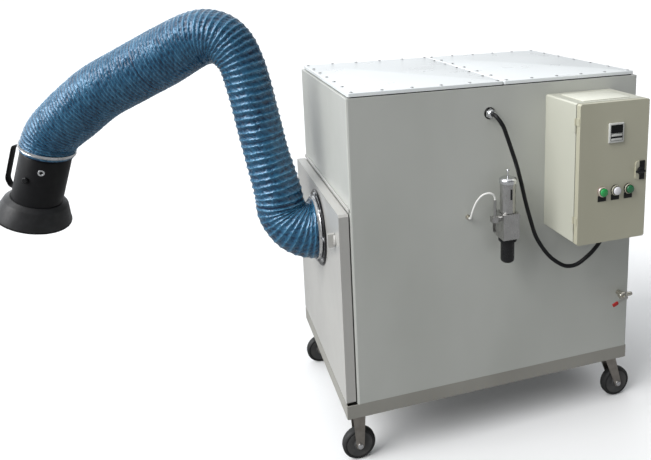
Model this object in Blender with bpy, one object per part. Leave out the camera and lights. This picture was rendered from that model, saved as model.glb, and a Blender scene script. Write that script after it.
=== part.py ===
"""Mobile dust and fume extractor: a sheet steel cabinet on casters with an inlet door, a ribbed hose over a
jointed arm, a suction hood, a control box and a compressed air filter on its long face.

Metres, +Z up. The origin is the centre of the cabinet base's underside. +X runs along the long face to the
right, +Y runs away from the viewer, and the inlet door is on the -X side.
"""
import math

import bmesh
import bpy
import numpy as np
from mathutils import Matrix, Vector

# Shared clearances
GAP = 0.0003
RUN_GAP = 0.001
OVERRUN = 0.004

# Cabinet
BODY_W = 0.912
BODY_D = 0.640
BODY_H = 0.940
SHEET = 0.002
CORNER_R = 0.006
PLINTH_H = 0.042
PLINTH_REACH = 0.032
PLINTH_WALL = 0.003
TOP_FLANGE = 0.034
DECK_Z = 0.600
MOUTH_SIDE = 0.050
MOUTH_FOOT = 0.046
MOUTH_HEAD = 0.050

# Lids
GASKET_T = 0.003
GASKET_INSET = 0.010
GASKET_W = 0.022
LID_T = 0.010
LID_INSET = 0.008
LID_SEAM_X = 0.010
LID_SEAM_GAP = 0.002
LID_HOLLOW = 0.008
LID_BORDER = 0.036

# Inlet door
DOOR_T = 0.028
DOOR_SEAL_T = 0.004
DOOR_HEAD_Z = 0.620
DOOR_EDGE_GAP = 0.004
DOOR_LIP = 0.024
SEAL_W = 0.014
SEAL_INSET = 0.014
HINGE_R = 0.006
HINGE_PIN_R = 0.003
HINGE_HALF = 0.030
HINGE_STRAP = 0.020
HINGE_STRAP_T = 0.0030
HINGE_INSET = 0.085
LATCH_R = 0.017
LATCH_DISC_T = 0.005
LATCH_WING = 0.042
LATCH_WING_T = 0.008
LATCH_WING_H = 0.018
LATCH_SHAFT_R = 0.004
LATCH_CAM = 0.030
LATCH_CAM_W = 0.012
LATCH_CAM_T = 0.003
LATCH_Z = 0.530

# Inlet flange, on the door
INLET_Y = -0.022
INLET_Z = 0.483
FLANGE_R = 0.120
FLANGE_T = 0.006
FLANGE_LIP = 0.004
SPIGOT_R = 0.070
SPIGOT_WALL = 0.002
SPIGOT_REACH = 0.012
CLAMP_T = 0.002
CLAMP_W = 0.010

# Arm, laid out in a vertical plane that leaves the door at ARM_HEADING
ARM_HEADING = math.radians(28.0)
ARM_ROOT = 0.070
SHOULDER_OUT = 0.030
SHOULDER_UP = 0.062
ELBOW_OUT = 0.190
ELBOW_UP = 0.587
WRIST_OUT = 0.705
WRIST_UP = 0.369
LINK_R = 0.010
EAR_R = 0.012
EYE_T = 0.006
CHEEK_T = 0.005
EYE_NECK = 0.032
WEB_NEAR = 0.029
WEB_T = 0.012
JOINT_BOLT_R = 0.004
JOINT_HEAD_R = 0.008
JOINT_HEAD_T = 0.005
BRACKET_BAR_W = 0.014
BRACKET_BAR_T = 0.010
YAW_BOSS_R = 0.014
YAW_BOSS_H = 0.020
CRANK_R = 0.008
YAW_EAR_T = 0.005
YAW_PIN_R = 0.005

# Hose
HOSE_R_FLANGE = 0.0965
HOSE_R_LOW = 0.0780
HOSE_R_RUN = 0.0700
HOSE_R_ELBOW = 0.0830
HOSE_R_FORE = 0.0920
HOSE_R_HOOD = 0.0850
HOSE_RIB = 0.0060
HOSE_WALL = 0.0105
HOSE_PITCH = 0.0205
HOSE_BORE_STEP = 0.036
HOSE_SIDES = 12
# The hose's line from the flange to the hood: out along the heading, to its side, and up from the inlet
HOSE_ROUTE = (
    (-0.05607, 0.02981, 0.0),
    (-0.05033, 0.02676, 0.0),
    (-0.04459, 0.02371, 0.0),
    (-0.0231, 0.0128, 0.0032),
    (-0.0024, 0.0041, 0.0125),
    (0.0173, -0.0001, 0.0272),
    (0.0338, -0.0004, 0.0465),
    (0.0446, 0.0001, 0.0689),
    (0.0477, 0.0000, 0.0849),
    (0.0510, 0.0000, 0.1170),
    (0.0572, 0.0000, 0.1470),
    (0.0657, 0.0000, 0.1820),
    (0.0830, 0.0000, 0.2540),
    (0.1020, 0.0000, 0.3510),
    (0.1240, 0.0000, 0.4600),
    (0.1480, 0.0000, 0.5400),
    (0.1880, 0.0000, 0.5900),
    (0.2360, 0.0000, 0.6055),
    (0.2900, 0.0000, 0.5960),
    (0.3940, 0.0000, 0.5450),
    (0.5170, 0.0000, 0.4860),
    (0.6230, 0.0000, 0.4330),
    (0.7160, 0.0000, 0.3660),
    (0.7560, 0.0000, 0.3358),
    (0.7841, 0.0000, 0.3138),
    (0.8092, 0.0000, 0.2878),
    (0.8262, 0.0000, 0.2558),
    (0.8296, 0.0000, 0.2464),
    (0.8330, 0.0000, 0.2370),
)
# Radius along the hose, and how far its ribs are drawn apart, both by shares of its length
HOSE_RADII = (
    (0.00, HOSE_R_FLANGE),
    (0.01, HOSE_R_FLANGE),
    (0.035, (HOSE_R_FLANGE + HOSE_R_LOW) / 2),
    (0.07, HOSE_R_LOW),
    (0.22, HOSE_R_RUN),
    (0.42, HOSE_R_RUN),
    (0.50, HOSE_R_ELBOW),
    (0.62, HOSE_R_FORE),
    (0.88, HOSE_R_FORE),
    (0.97, HOSE_R_HOOD),
    (1.00, HOSE_R_HOOD),
)
HOSE_STRETCH_SHARES = (
    (0.00, 0.75),
    (0.08, 0.90),
    (0.20, 1.30),
    (0.40, 1.35),
    (0.48, 0.90),
    (0.60, 0.95),
    (1.00, 0.95),
)
HOSE_SPLIT_SHARES = (0.105, 0.24, 0.66)

# Hood
HOOD_DROP = math.radians(70.0)
HOOD_OUT = 0.833
HOOD_UP = 0.237
NECK_R = 0.078
NECK_WALL = 0.0015
NECK_TOP_R = 0.0675
NECK_TOP_LEN = 0.032
NECK_SHOULDER = 0.006
NECK_LEN = 0.180
FLARE_SOCKET = 0.012
FLARE_TOP_R = 0.098
FLARE_MOUTH_R = 0.119
FLARE_LEN = 0.060
FLARE_RIM = 0.004
EYELET_DROP = 0.079
EYELET_R = 0.010
EYELET_T = 0.002
STEM_BOLT_R = 0.004
GRIP_TOP = 0.016
GRIP_FOOT = 0.162
GRIP_OUT = 0.041
GRIP_TOP_RISE = 0.004
GRIP_FOOT_RISE = 0.020
GRIP_W = 0.025
GRIP_T = 0.004

# Control box on the long face
BOX_X = 0.252
BOX_W = 0.220
BOX_H = 0.400
BOX_Z = 0.506
BOX_BODY_D = 0.159
BOX_SEAL_T = 0.003
BOX_DOOR_T = 0.018
BOX_WALL = 0.002
BOX_LIP = 0.014
BOX_CORNER_R = 0.004
BOX_HINGE_R = 0.0026
BOX_HINGE_PIN_R = 0.0012
BOX_HINGE_LEN = 0.040
BOX_HINGE_INSET = 0.060
BOX_LEAF = 0.014
BOX_LEAF_T = 0.0015
PLATE_INSET = 0.020
PLATE_T = 0.002
PLATE_STAND = 0.010
METER_X = 0.002
METER_UP = 0.314
METER_W = 0.048
METER_H = 0.056
METER_T = 0.006
METER_BACK = 0.034
METER_BACK_SHARE = 0.88
BUTTON_PITCH = 0.0425
BUTTON_OUT = 0.008
BUTTON_UP = 0.149
BUTTON_R = 0.0095
BUTTON_TRAVEL = 0.003
BEZEL_R = 0.0150
BEZEL_T = 0.007
BEZEL_BACK_R = 0.0105
BUTTON_BACK = 0.024
LOCK_OUT = 0.0855
LOCK_UP = 0.198
LOCK_W = 0.030
LOCK_H = 0.054
LOCK_T = 0.004
LOCK_KNOB_R = 0.0115
LOCK_KNOB_T = 0.012
LOCK_SHAFT_R = 0.0035
LOCK_CAM = 0.022
LOCK_CAM_W = 0.010
LOCK_CAM_T = 0.002

# Cable between the cabinet's gland and the control box's underside
CABLE_R = 0.006
GLAND_X = -0.038
GLAND_Z = 0.866
GLAND_R = 0.016
GLAND_NUT_T = 0.006
GLAND_BODY_R = 0.012
GLAND_BODY_LEN = 0.014
CABLE_IN_X = 0.292
CABLE_IN_OUT = 0.078
CABLE_ROUTE = (
    (-0.0380, -0.3405, 0.8660),
    (-0.0380, -0.3500, 0.8660),
    (-0.0360, -0.3600, 0.8625),
    (-0.0310, -0.3665, 0.8540),
    (-0.0250, -0.3710, 0.8430),
    (-0.0175, -0.3735, 0.8265),
    (0.0015, -0.3750, 0.7727),
    (0.0203, -0.3740, 0.7197),
    (0.0363, -0.3720, 0.6660),
    (0.0520, -0.3700, 0.6070),
    (0.0702, -0.3690, 0.5462),
    (0.0900, -0.3700, 0.4897),
    (0.1244, -0.3750, 0.4358),
    (0.1574, -0.3800, 0.4055),
    (0.1854, -0.3850, 0.3918),
    (0.2164, -0.3900, 0.3951),
    (0.2485, -0.3950, 0.4170),
    (0.2703, -0.3970, 0.4370),
    (0.2860, -0.3980, 0.4560),
    (0.2920, -0.3983, 0.4720),
    (0.2920, -0.3983, 0.4855),
)

# Compressed air filter on the long face
FILTER_X = -0.0075
FILTER_OUT = 0.055
FILTER_HEAD_Z = 0.5095
FILTER_HEAD_W = 0.050
FILTER_HEAD_H = 0.0765
BONNET_R = 0.0225
BONNET_H = 0.085
BONNET_WINDOW_W = 0.007
BONNET_WINDOW_H = 0.032
BONNET_WINDOW_DROP = 0.012
CAP_R = 0.0260
CAP_H = 0.018
CAP_RIM = 0.006
KNOB_STEM_R = 0.003
KNOB_STEM_H = 0.014
KNOB_R = 0.0050
RING_R = 0.0265
RING_H = 0.009
BOWL_R = 0.0200
BOWL_H = 0.066
BRACKET_W = 0.040
BRACKET_T = 0.003
BRACKET_H = 0.050
PORT_R = 0.008
PORT_UP = 0.0595
PORT_LEN = 0.012
TUBE_R = 0.003
TUBE_IN_X = -0.108
TUBE_IN_Z = 0.566
FITTING_R = 0.008
FITTING_LEN = 0.011
ELBOW_LEN = 0.014
TUBE_ROUTE = (
    (-0.0475, -0.3750, 0.6260),
    (-0.0475, -0.3750, 0.6310),
    (-0.0510, -0.3748, 0.6400),
    (-0.0600, -0.3738, 0.6465),
    (-0.0715, -0.3700, 0.6465),
    (-0.0840, -0.3640, 0.6390),
    (-0.0960, -0.3570, 0.6210),
    (-0.1030, -0.3515, 0.6000),
    (-0.1070, -0.3475, 0.5820),
    (-0.1080, -0.3430, 0.5700),
    (-0.1080, -0.3375, 0.5660),
    (-0.1080, -0.3325, 0.5660),
)

# Supply valve low on the right of the long face
VALVE_X = 0.417
VALVE_Z = 0.237
VALVE_OUT = 0.024
VALVE_R = 0.012
VALVE_LEN = 0.026
NIPPLE_R = 0.008
BARB_R = 0.006
BARB_LEN = 0.022
LEVER_LEN = 0.034
LEVER_W = 0.009
LEVER_T = 0.002
LEVER_DROOP = 0.014
LEVER_HUB_R = 0.0065
LEVER_HUB_T = 0.005
STEM_R = 0.0035
STEM_LEN = 0.008
LEVER_GRIP_LEN = 0.022
LEVER_GRIP_W = 0.013
LEVER_GRIP_T = 0.007

# Casters
CASTER_INSET_X = 0.008
CASTER_INSET_Y = 0.042
SWIVEL_INSET_X = 0.040
WHEEL_R = 0.050
WHEEL_W = 0.028
WHEEL_HUB_W = 0.034
WHEEL_HUB_R = 0.016
WHEEL_DISH = 0.005
WHEEL_EDGE = 0.006
TREAD_R_SHARE = 0.78
CASTER_H = 0.160
TOP_PLATE_X = 0.072
TOP_PLATE_Y = 0.076
TOP_PLATE_T = 0.003
FORK_T = 0.003
FORK_W = 0.038
FORK_FOOT_W = 0.024
FORK_GAP = 0.0015
AXLE_R = 0.005
AXLE_HEAD_R = 0.009
AXLE_HEAD_T = 0.005
TRAIL = 0.032
SWIVEL_R = 0.026
SWIVEL_T = 0.012

# Inside the cabinet
CARTRIDGE_R = 0.110
CARTRIDGE_LEN = 0.400
CARTRIDGE_BORE_R = 0.070
CARTRIDGE_CAP_R = 0.118
CARTRIDGE_CAP_T = 0.012
CARTRIDGE_PLEATS = 16
CARTRIDGE_PLEAT = 0.016
CARTRIDGE_PITCH = 0.300
CARTRIDGE_X = 0.050
DECK_T = 0.003
TRAY_H = 0.055
TRAY_W = 0.700
TRAY_D = 0.500
TRAY_X = 0.010
TRAY_WALL = 0.002
TRAY_PULL_W = 0.120
TRAY_PULL_OUT = 0.022
TRAY_PULL_T = 0.004
FAN_Y = 0.030
FAN_R = 0.139
FAN_DEPTH = 0.084
FAN_FOOT_H = 0.012
FAN_FOOT_W = 0.160
FAN_WALL = 0.003
FAN_EYE_R = 0.060
FAN_OUT_H = 0.100
PARTITION_X = 0.070
PARTITION_T = 0.003
PARTITION_FOOT = 0.020
IMPELLER_R = 0.092
IMPELLER_W = 0.040
IMPELLER_BLADES = 8
IMPELLER_BLADE_T = 0.003
IMPELLER_PLATE_T = 0.003
IMPELLER_HUB_R = 0.018
IMPELLER_SWEEP = math.radians(50.0)
MOTOR_R = 0.062
MOTOR_LEN = 0.150
MOTOR_STAND = 0.012
MOTOR_FIN_H = 0.005
MOTOR_FINS = 12
MOTOR_FIN_SHARE = 0.45
MOTOR_SHAFT_R = 0.009
MOTOR_FOOT_W = 0.110
MOTOR_FOOT_T = 0.006
EXHAUST_SLATS = 6
EXHAUST_SLAT_T = 0.002
EXHAUST_RIM = 0.014
EXHAUST_T = 0.010
CONTACTOR_W = 0.045
CONTACTOR_H = 0.075
CONTACTOR_D = 0.080
CONTACTOR_UP = 0.040
TERMINAL_W = 0.120
TERMINAL_H = 0.030
TERMINAL_D = 0.035
TERMINAL_UP = 0.050
RAIL_GAP = 0.0003

# Places worked out from the sizes above
LEFT = -BODY_W / 2
RIGHT = BODY_W / 2
FRONT = -BODY_D / 2
BACK = BODY_D / 2
DOOR_IN_X = LEFT - DOOR_SEAL_T
DOOR_OUT_X = DOOR_IN_X - DOOR_T
DOOR_FOOT_Z = PLINTH_H + DOOR_EDGE_GAP
HINGE_X = LEFT - DOOR_SEAL_T / 2
HINGE_Y = BACK + GAP + HINGE_R
BOX_BACK_Y = FRONT - GAP
BOX_FRONT_Y = BOX_BACK_Y - BOX_BODY_D
BOX_DOOR_BACK_Y = BOX_FRONT_Y - BOX_SEAL_T
BOX_DOOR_FRONT_Y = BOX_DOOR_BACK_Y - BOX_DOOR_T
BOX_HINGE_X = BOX_X - BOX_W / 2 - GAP - BOX_HINGE_R
BOX_HINGE_Y = BOX_FRONT_Y - BOX_SEAL_T / 2
AXLE_Z = WHEEL_R - CASTER_H
ARM_OUT = Vector((-math.cos(ARM_HEADING), math.sin(ARM_HEADING), 0))
ARM_SIDE = Vector((math.sin(ARM_HEADING), math.cos(ARM_HEADING), 0))
ARM_BASE = Vector((DOOR_OUT_X - ARM_ROOT, INLET_Y, INLET_Z))
UP = Vector((0, 0, 1))


def clear_scene():
    for old in list(bpy.data.objects):
        bpy.data.objects.remove(old, do_unlink=True)


def paint(name, colour, roughness, metallic=0.0):
    mat = bpy.data.materials.get(name)
    if mat:
        return mat
    mat = bpy.data.materials.new(name)
    mat.use_nodes = True
    mat.diffuse_color = (*colour, 1)
    shader = mat.node_tree.nodes["Principled BSDF"]
    shader.inputs["Base Color"].default_value = (*colour, 1)
    shader.inputs["Roughness"].default_value = roughness
    shader.inputs["Metallic"].default_value = metallic
    return mat


def grey_paint(name):
    return paint(name, (0.42, 0.43, 0.41), 0.35)


def white_paint(name):
    return paint(name, (0.78, 0.80, 0.80), 0.30)


def cream_paint(name):
    return paint(name, (0.62, 0.61, 0.52), 0.40)


def black_paint(name):
    return paint(name, (0.012, 0.012, 0.012), 0.35)


def zinc(name):
    return paint(name, (0.60, 0.60, 0.60), 0.30, 1.0)


def rubber(name):
    return paint(name, (0.014, 0.014, 0.015), 0.75)


def add(name, bm, mat, smooth=False, origin=None):
    """Turns a bmesh in world places into an object, with its origin on a joint's axis where one is given."""
    bmesh.ops.recalc_face_normals(bm, faces=bm.faces)
    mesh = bpy.data.meshes.new(name)
    if origin is not None:
        bmesh.ops.translate(bm, vec=-Vector(origin), verts=bm.verts)
    bm.to_mesh(mesh)
    bm.free()
    obj = bpy.data.objects.new(name, mesh)
    bpy.context.scene.collection.objects.link(obj)
    if origin is not None:
        obj.location = origin
    mesh.materials.append(mat)
    if smooth:
        mesh.shade_smooth()
        mesh.set_sharp_from_angle(angle=math.radians(40))
    return obj


def hide_tool(obj):
    obj.hide_render = True
    obj.display_type = "WIRE"


def boolean(obj, tool, operation):
    hide_tool(tool)
    mod = obj.modifiers.new(operation.lower(), "BOOLEAN")
    mod.operation = operation
    mod.object = tool
    mod.solver = "EXACT"


def cut(obj, tool):
    boolean(obj, tool, "DIFFERENCE")


def fuse(obj, tool):
    boolean(obj, tool, "UNION")


def block(bm, low, high):
    low = Vector(low)
    high = Vector(high)
    made = bmesh.ops.create_cube(bm, size=1)["verts"]
    bmesh.ops.scale(bm, vec=high - low, verts=made)
    bmesh.ops.translate(bm, vec=(low + high) / 2, verts=made)
    return made


def block_object(name, low, high, mat, origin=None):
    bm = bmesh.new()
    block(bm, low, high)
    return add(name, bm, mat, origin=origin)


def rounded_rect(width, height, radius, steps=1):
    points = []
    for quarter in range(4):
        turn = math.pi / 2 * quarter
        cx = (width / 2 - radius) * (1 if quarter in (0, 3) else -1)
        cy = (height / 2 - radius) * (1 if quarter in (0, 1) else -1)
        for i in range(steps + 1):
            a = turn + math.pi / 2 * i / steps
            points.append((cx + radius * math.cos(a), cy + radius * math.sin(a)))
    return points


def circle(radius, steps, turn=0.0):
    return [
        (radius * math.cos(turn + math.tau * i / steps), radius * math.sin(turn + math.tau * i / steps))
        for i in range(steps)
    ]


def frame(at, normal, up=UP):
    """A matrix whose local Z is the normal and whose local Y is as near to up as it can be."""
    z = Vector(normal).normalized()
    side = Vector(up)
    if abs(side.dot(z)) > math.cos(math.radians(5)):
        side = Vector((0, 1, 0))
    x = side.cross(z).normalized()
    y = z.cross(x)
    rot = Matrix((x, y, z)).transposed().to_4x4()
    return Matrix.Translation(Vector(at)) @ rot


def extrude(bm, outline, depth, matrix):
    """Raises a closed outline along local Z from 0 to the depth."""
    base = [bm.verts.new((x, y, 0)) for x, y in outline]
    face = bm.faces.new(base)
    out = bmesh.ops.extrude_face_region(bm, geom=[face])["geom"]
    raised = [v for v in out if isinstance(v, bmesh.types.BMVert)]
    bmesh.ops.translate(bm, vec=(0, 0, depth), verts=raised)
    bmesh.ops.transform(bm, matrix=matrix, verts=base + raised)
    return base + raised


def extruded(name, outline, depth, matrix, mat, smooth=False, origin=None):
    bm = bmesh.new()
    extrude(bm, outline, depth, matrix)
    return add(name, bm, mat, smooth, origin)


def turn_profile(bm, profile, steps, matrix):
    """Turns a profile of (radius, height) points about local Z. Points on the axis close the shape there."""
    closed = all(r > 0 for r, _ in profile)
    rows = []
    for r, h in profile:
        if r == 0:
            rows.append([bm.verts.new((0, 0, h))])
        else:
            rows.append([bm.verts.new((x, y, h)) for x, y in circle(r, steps)])
    pairs = list(zip(rows, rows[1:]))
    if closed:
        pairs.append((rows[-1], rows[0]))
    for a, b in pairs:
        for i in range(steps):
            j = (i + 1) % steps
            if len(a) == 1:
                bm.faces.new((a[0], b[i], b[j]))
            elif len(b) == 1:
                bm.faces.new((a[i], b[0], a[j]))
            else:
                bm.faces.new((a[i], b[i], b[j], a[j]))
    verts = [v for row in rows for v in row]
    bmesh.ops.transform(bm, matrix=matrix, verts=verts)
    return verts


def turned(name, profile, steps, matrix, mat, origin=None):
    bm = bmesh.new()
    turn_profile(bm, profile, steps, matrix)
    return add(name, bm, mat, True, origin)


def rod_profile(radius, low, high):
    return [(0, low), (radius, low), (radius, high), (0, high)]


def tube_profile(outer, inner, low, high):
    return [(inner, low), (outer, low), (outer, high), (inner, high)]


def rod_between(bm, a, b, radius, steps):
    a = Vector(a)
    b = Vector(b)
    return turn_profile(bm, rod_profile(radius, 0, (b - a).length), steps, frame(a, b - a))


def rect_ring(bm, outer, inner, depth, matrix):
    """A flat ring between two outlines of as many points each, raised along local Z."""
    rows = []
    for outline, z in ((outer, 0), (outer, depth), (inner, depth), (inner, 0)):
        rows.append([bm.verts.new((x, y, z)) for x, y in outline])
    rows.append(rows[0])
    count = len(outer)
    for a, b in zip(rows, rows[1:]):
        for i in range(count):
            j = (i + 1) % count
            bm.faces.new((a[i], a[j], b[j], b[i]))
    bmesh.ops.transform(bm, matrix=matrix, verts=[v for row in rows[:4] for v in row])


def smooth_points(route, step):
    """Points at even steps along a smooth curve through a route's own points."""
    pts = np.array([tuple(p) for p in route])
    ends = np.vstack([2 * pts[0] - pts[1], pts, 2 * pts[-1] - pts[-2]])
    fine = []
    for i in range(1, len(ends) - 2):
        for t in np.linspace(0, 1, 24, endpoint=False):
            p0, p1, p2, p3 = ends[i - 1 : i + 3]
            fine.append(
                0.5
                * (
                    2 * p1
                    + (p2 - p0) * t
                    + (2 * p0 - 5 * p1 + 4 * p2 - p3) * t**2
                    + (3 * p1 - p0 - 3 * p2 + p3) * t**3
                )
            )
    fine.append(pts[-1])
    fine = np.array(fine)
    run = np.concatenate([[0], np.cumsum(np.linalg.norm(np.diff(fine, axis=0), axis=1))])
    count = max(2, int(round(run[-1] / step)) + 1)
    at = np.linspace(0, run[-1], count)
    return np.stack([np.interp(at, run, fine[:, k]) for k in range(3)], axis=1), run[-1]


def curve_tube(name, points, radii, resolution, mat):
    """A round tube with filled ends along the points, with a radius at each."""
    curve = bpy.data.curves.new(name, "CURVE")
    curve.dimensions = "3D"
    curve.bevel_depth = 1
    curve.bevel_resolution = resolution
    curve.use_fill_caps = True
    curve.twist_mode = "MINIMUM"
    spline = curve.splines.new("POLY")
    spline.points.add(len(points) - 1)
    for point, place, radius in zip(spline.points, points, radii):
        point.co = (*place, 1)
        point.radius = radius
    curve.materials.append(mat)
    obj = bpy.data.objects.new(name, curve)
    bpy.context.scene.collection.objects.link(obj)
    return obj


# Cabinet


def make_plinth():
    low = Vector((LEFT - PLINTH_REACH, FRONT, 0))
    high = Vector((RIGHT, BACK, PLINTH_H))
    mat = paint("plinth_paint", (0.29, 0.28, 0.26), 0.45)
    plinth = block_object("base_plinth", low, high, mat)
    wall = Vector((PLINTH_WALL, PLINTH_WALL, PLINTH_WALL))
    room = block_object("plinth_room", low + wall, high - wall + Vector((0, 0, PLINTH_WALL + OVERRUN)), mat)
    cut(plinth, room)
    return plinth


def shell_outline(inset):
    return rounded_rect(BODY_W - 2 * inset, BODY_D - 2 * inset, CORNER_R - min(inset, CORNER_R / 2), 2)


def make_shell():
    mat = grey_paint("cabinet_paint")
    foot = PLINTH_H + GAP
    shell = extruded("cabinet_shell", shell_outline(0), BODY_H - foot, Matrix.Translation((0, 0, foot)), mat)
    room_foot = foot + SHEET
    room = extruded(
        "shell_room",
        shell_outline(SHEET),
        BODY_H - SHEET - room_foot,
        Matrix.Translation((0, 0, room_foot)),
        mat,
    )
    cut(shell, room)
    top = block_object(
        "shell_top_opening",
        (LEFT + TOP_FLANGE, FRONT + TOP_FLANGE, BODY_H - 2 * SHEET),
        (RIGHT - TOP_FLANGE, BACK - TOP_FLANGE, BODY_H + OVERRUN),
        mat,
    )
    cut(shell, top)
    mouth = block_object(
        "shell_door_opening",
        (LEFT - OVERRUN, FRONT + MOUTH_SIDE, PLINTH_H + MOUTH_FOOT),
        (LEFT + 2 * SHEET, BACK - MOUTH_SIDE, DOOR_HEAD_Z - MOUTH_HEAD),
        mat,
    )
    cut(shell, mouth)
    vent = block_object(
        "shell_exhaust_opening",
        (fan_x() - FAN_DEPTH / 2 + FAN_WALL, BACK - 2 * SHEET, exhaust_z() - FAN_OUT_H / 2 + FAN_WALL),
        (fan_x() + FAN_DEPTH / 2 - FAN_WALL, BACK + OVERRUN, exhaust_z() + FAN_OUT_H / 2 - FAN_WALL),
        mat,
    )
    cut(shell, vent)
    return shell


def exhaust_z():
    return fan_z() + FAN_R - 3 * FAN_WALL - FAN_OUT_H / 2


def fan_x():
    return PARTITION_X + GAP + FAN_DEPTH / 2


def fan_z():
    return DECK_Z + DECK_T + FAN_R + FAN_FOOT_H


def make_lid_gasket():
    bm = bmesh.new()
    width = BODY_W - 2 * GASKET_INSET
    depth = BODY_D - 2 * GASKET_INSET
    outer = rounded_rect(width, depth, CORNER_R)
    inner = rounded_rect(width - 2 * GASKET_W, depth - 2 * GASKET_W, CORNER_R)
    rect_ring(bm, outer, inner, GASKET_T - GAP, Matrix.Translation((0, 0, BODY_H + GAP)))
    return add("lid_gasket", bm, rubber("lid_gasket_rubber"))


def lid_span(side):
    if side == "left":
        return LEFT + LID_INSET, LID_SEAM_X - LID_SEAM_GAP / 2
    return LID_SEAM_X + LID_SEAM_GAP / 2, RIGHT - LID_INSET


def make_lid(side):
    x0, x1 = lid_span(side)
    y0 = FRONT + LID_INSET
    z0 = BODY_H + GASKET_T + GAP
    mat = white_paint("lid_paint_" + side)
    at = Matrix.Translation(((x0 + x1) / 2, 0, z0))
    lid = extruded("lid_" + side, rounded_rect(x1 - x0, -2 * y0, CORNER_R, 1), LID_T, at, mat)
    hollow = block_object(
        "lid_hollow_" + side,
        (x0 + LID_BORDER, y0 + LID_BORDER, z0 - OVERRUN),
        (x1 - LID_BORDER, -y0 - LID_BORDER, z0 + LID_HOLLOW),
        mat,
    )
    cut(lid, hollow)
    return lid


# Inlet door


def make_door():
    mat = grey_paint("door_paint")
    y0 = FRONT + DOOR_EDGE_GAP
    width = BACK - y0
    height = DOOR_HEAD_Z - DOOR_FOOT_Z
    centre_y = (y0 + BACK) / 2
    centre_z = (DOOR_FOOT_Z + DOOR_HEAD_Z) / 2
    axis = (HINGE_X, HINGE_Y, centre_z)
    face = frame((DOOR_IN_X, centre_y, centre_z), (-1, 0, 0))
    door = extruded("door_panel", rounded_rect(width, height, CORNER_R), DOOR_T, face, mat, origin=axis)
    inside = frame((DOOR_IN_X - SHEET, centre_y, centre_z), (-1, 0, 0))
    room_outline = rounded_rect(width - 2 * SHEET, height - 2 * SHEET, CORNER_R)
    room = extruded("door_room", room_outline, DOOR_T - 2 * SHEET, inside, mat)
    cut(door, room)
    back = block_object(
        "door_back_opening",
        (DOOR_IN_X - 2 * SHEET, y0 + DOOR_LIP, DOOR_FOOT_Z + DOOR_LIP),
        (DOOR_IN_X + OVERRUN, BACK - DOOR_LIP, DOOR_HEAD_Z - DOOR_LIP),
        mat,
    )
    cut(door, back)
    bore = rod_profile(SPIGOT_R + RUN_GAP, -OVERRUN, DOOR_T)
    hole = turned("door_inlet_hole", bore, 24, inlet_frame(), mat)
    cut(door, hole)
    shaft = turned(
        "door_latch_hole", rod_profile(LATCH_SHAFT_R + GAP, -OVERRUN, DOOR_T), 12, latch_frame(), mat
    )
    cut(door, shaft)
    return door


def inlet_frame():
    """Local Z runs from the door's outer face into the cabinet."""
    return frame((DOOR_OUT_X, INLET_Y, INLET_Z), (1, 0, 0))


def latch_y():
    return FRONT + MOUTH_SIDE + LATCH_CAM_W


def latch_frame():
    return frame((DOOR_OUT_X, latch_y(), LATCH_Z), (1, 0, 0))


def make_door_seal():
    bm = bmesh.new()
    y0 = FRONT + DOOR_EDGE_GAP
    width = BACK - y0 - 2 * SEAL_INSET
    height = DOOR_HEAD_Z - DOOR_FOOT_Z - 2 * SEAL_INSET
    outer = rounded_rect(width, height, CORNER_R)
    inner = rounded_rect(width - 2 * SEAL_W, height - 2 * SEAL_W, CORNER_R)
    at = frame((LEFT - GAP, (y0 + BACK) / 2, (DOOR_FOOT_Z + DOOR_HEAD_Z) / 2), (-1, 0, 0))
    rect_ring(bm, outer, inner, DOOR_SEAL_T - 2 * GAP, at)
    return add("door_seal", bm, rubber("door_seal_rubber"))


def hinge_heights():
    return DOOR_FOOT_Z + HINGE_INSET, DOOR_HEAD_Z - HINGE_INSET


def add_door_hinges(shell, door):
    """Lift-off hinges: the lower halves and their pins are on the cabinet, the upper halves on the door."""
    steel = grey_paint("cabinet_paint")
    lower = bmesh.new()
    upper = bmesh.new()
    straps_low = bmesh.new()
    straps_up = bmesh.new()
    at = Matrix.Translation((HINGE_X, HINGE_Y, 0))
    side = HINGE_R / 2
    y0 = BACK - SHEET / 2
    y1 = BACK + GAP + HINGE_STRAP_T
    for z in hinge_heights():
        stepped = [
            (0, z - HINGE_HALF),
            (HINGE_R, z - HINGE_HALF),
            (HINGE_R, z - GAP),
            (HINGE_PIN_R, z - GAP),
            (HINGE_PIN_R, z + HINGE_HALF - GAP),
            (0, z + HINGE_HALF - GAP),
        ]
        turn_profile(lower, stepped, 12, at)
        turn_profile(upper, tube_profile(HINGE_R, HINGE_PIN_R + GAP, z + GAP, z + HINGE_HALF), 12, at)
        low = z - HINGE_HALF
        block(straps_low, (HINGE_X + side, y0, low + GAP), (LEFT + HINGE_STRAP, y1, z - 2 * GAP))
        high = z + HINGE_HALF
        block(straps_up, (DOOR_IN_X - HINGE_STRAP, y0, z + 2 * GAP), (DOOR_IN_X - GAP, y1, high - GAP))
    fuse(shell, add("hinge_low_tool", lower, steel, True))
    fuse(shell, add("strap_low_tool", straps_low, steel))
    fuse(door, add("hinge_up_tool", upper, steel, True))
    fuse(door, add("strap_up_tool", straps_up, steel))


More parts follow.
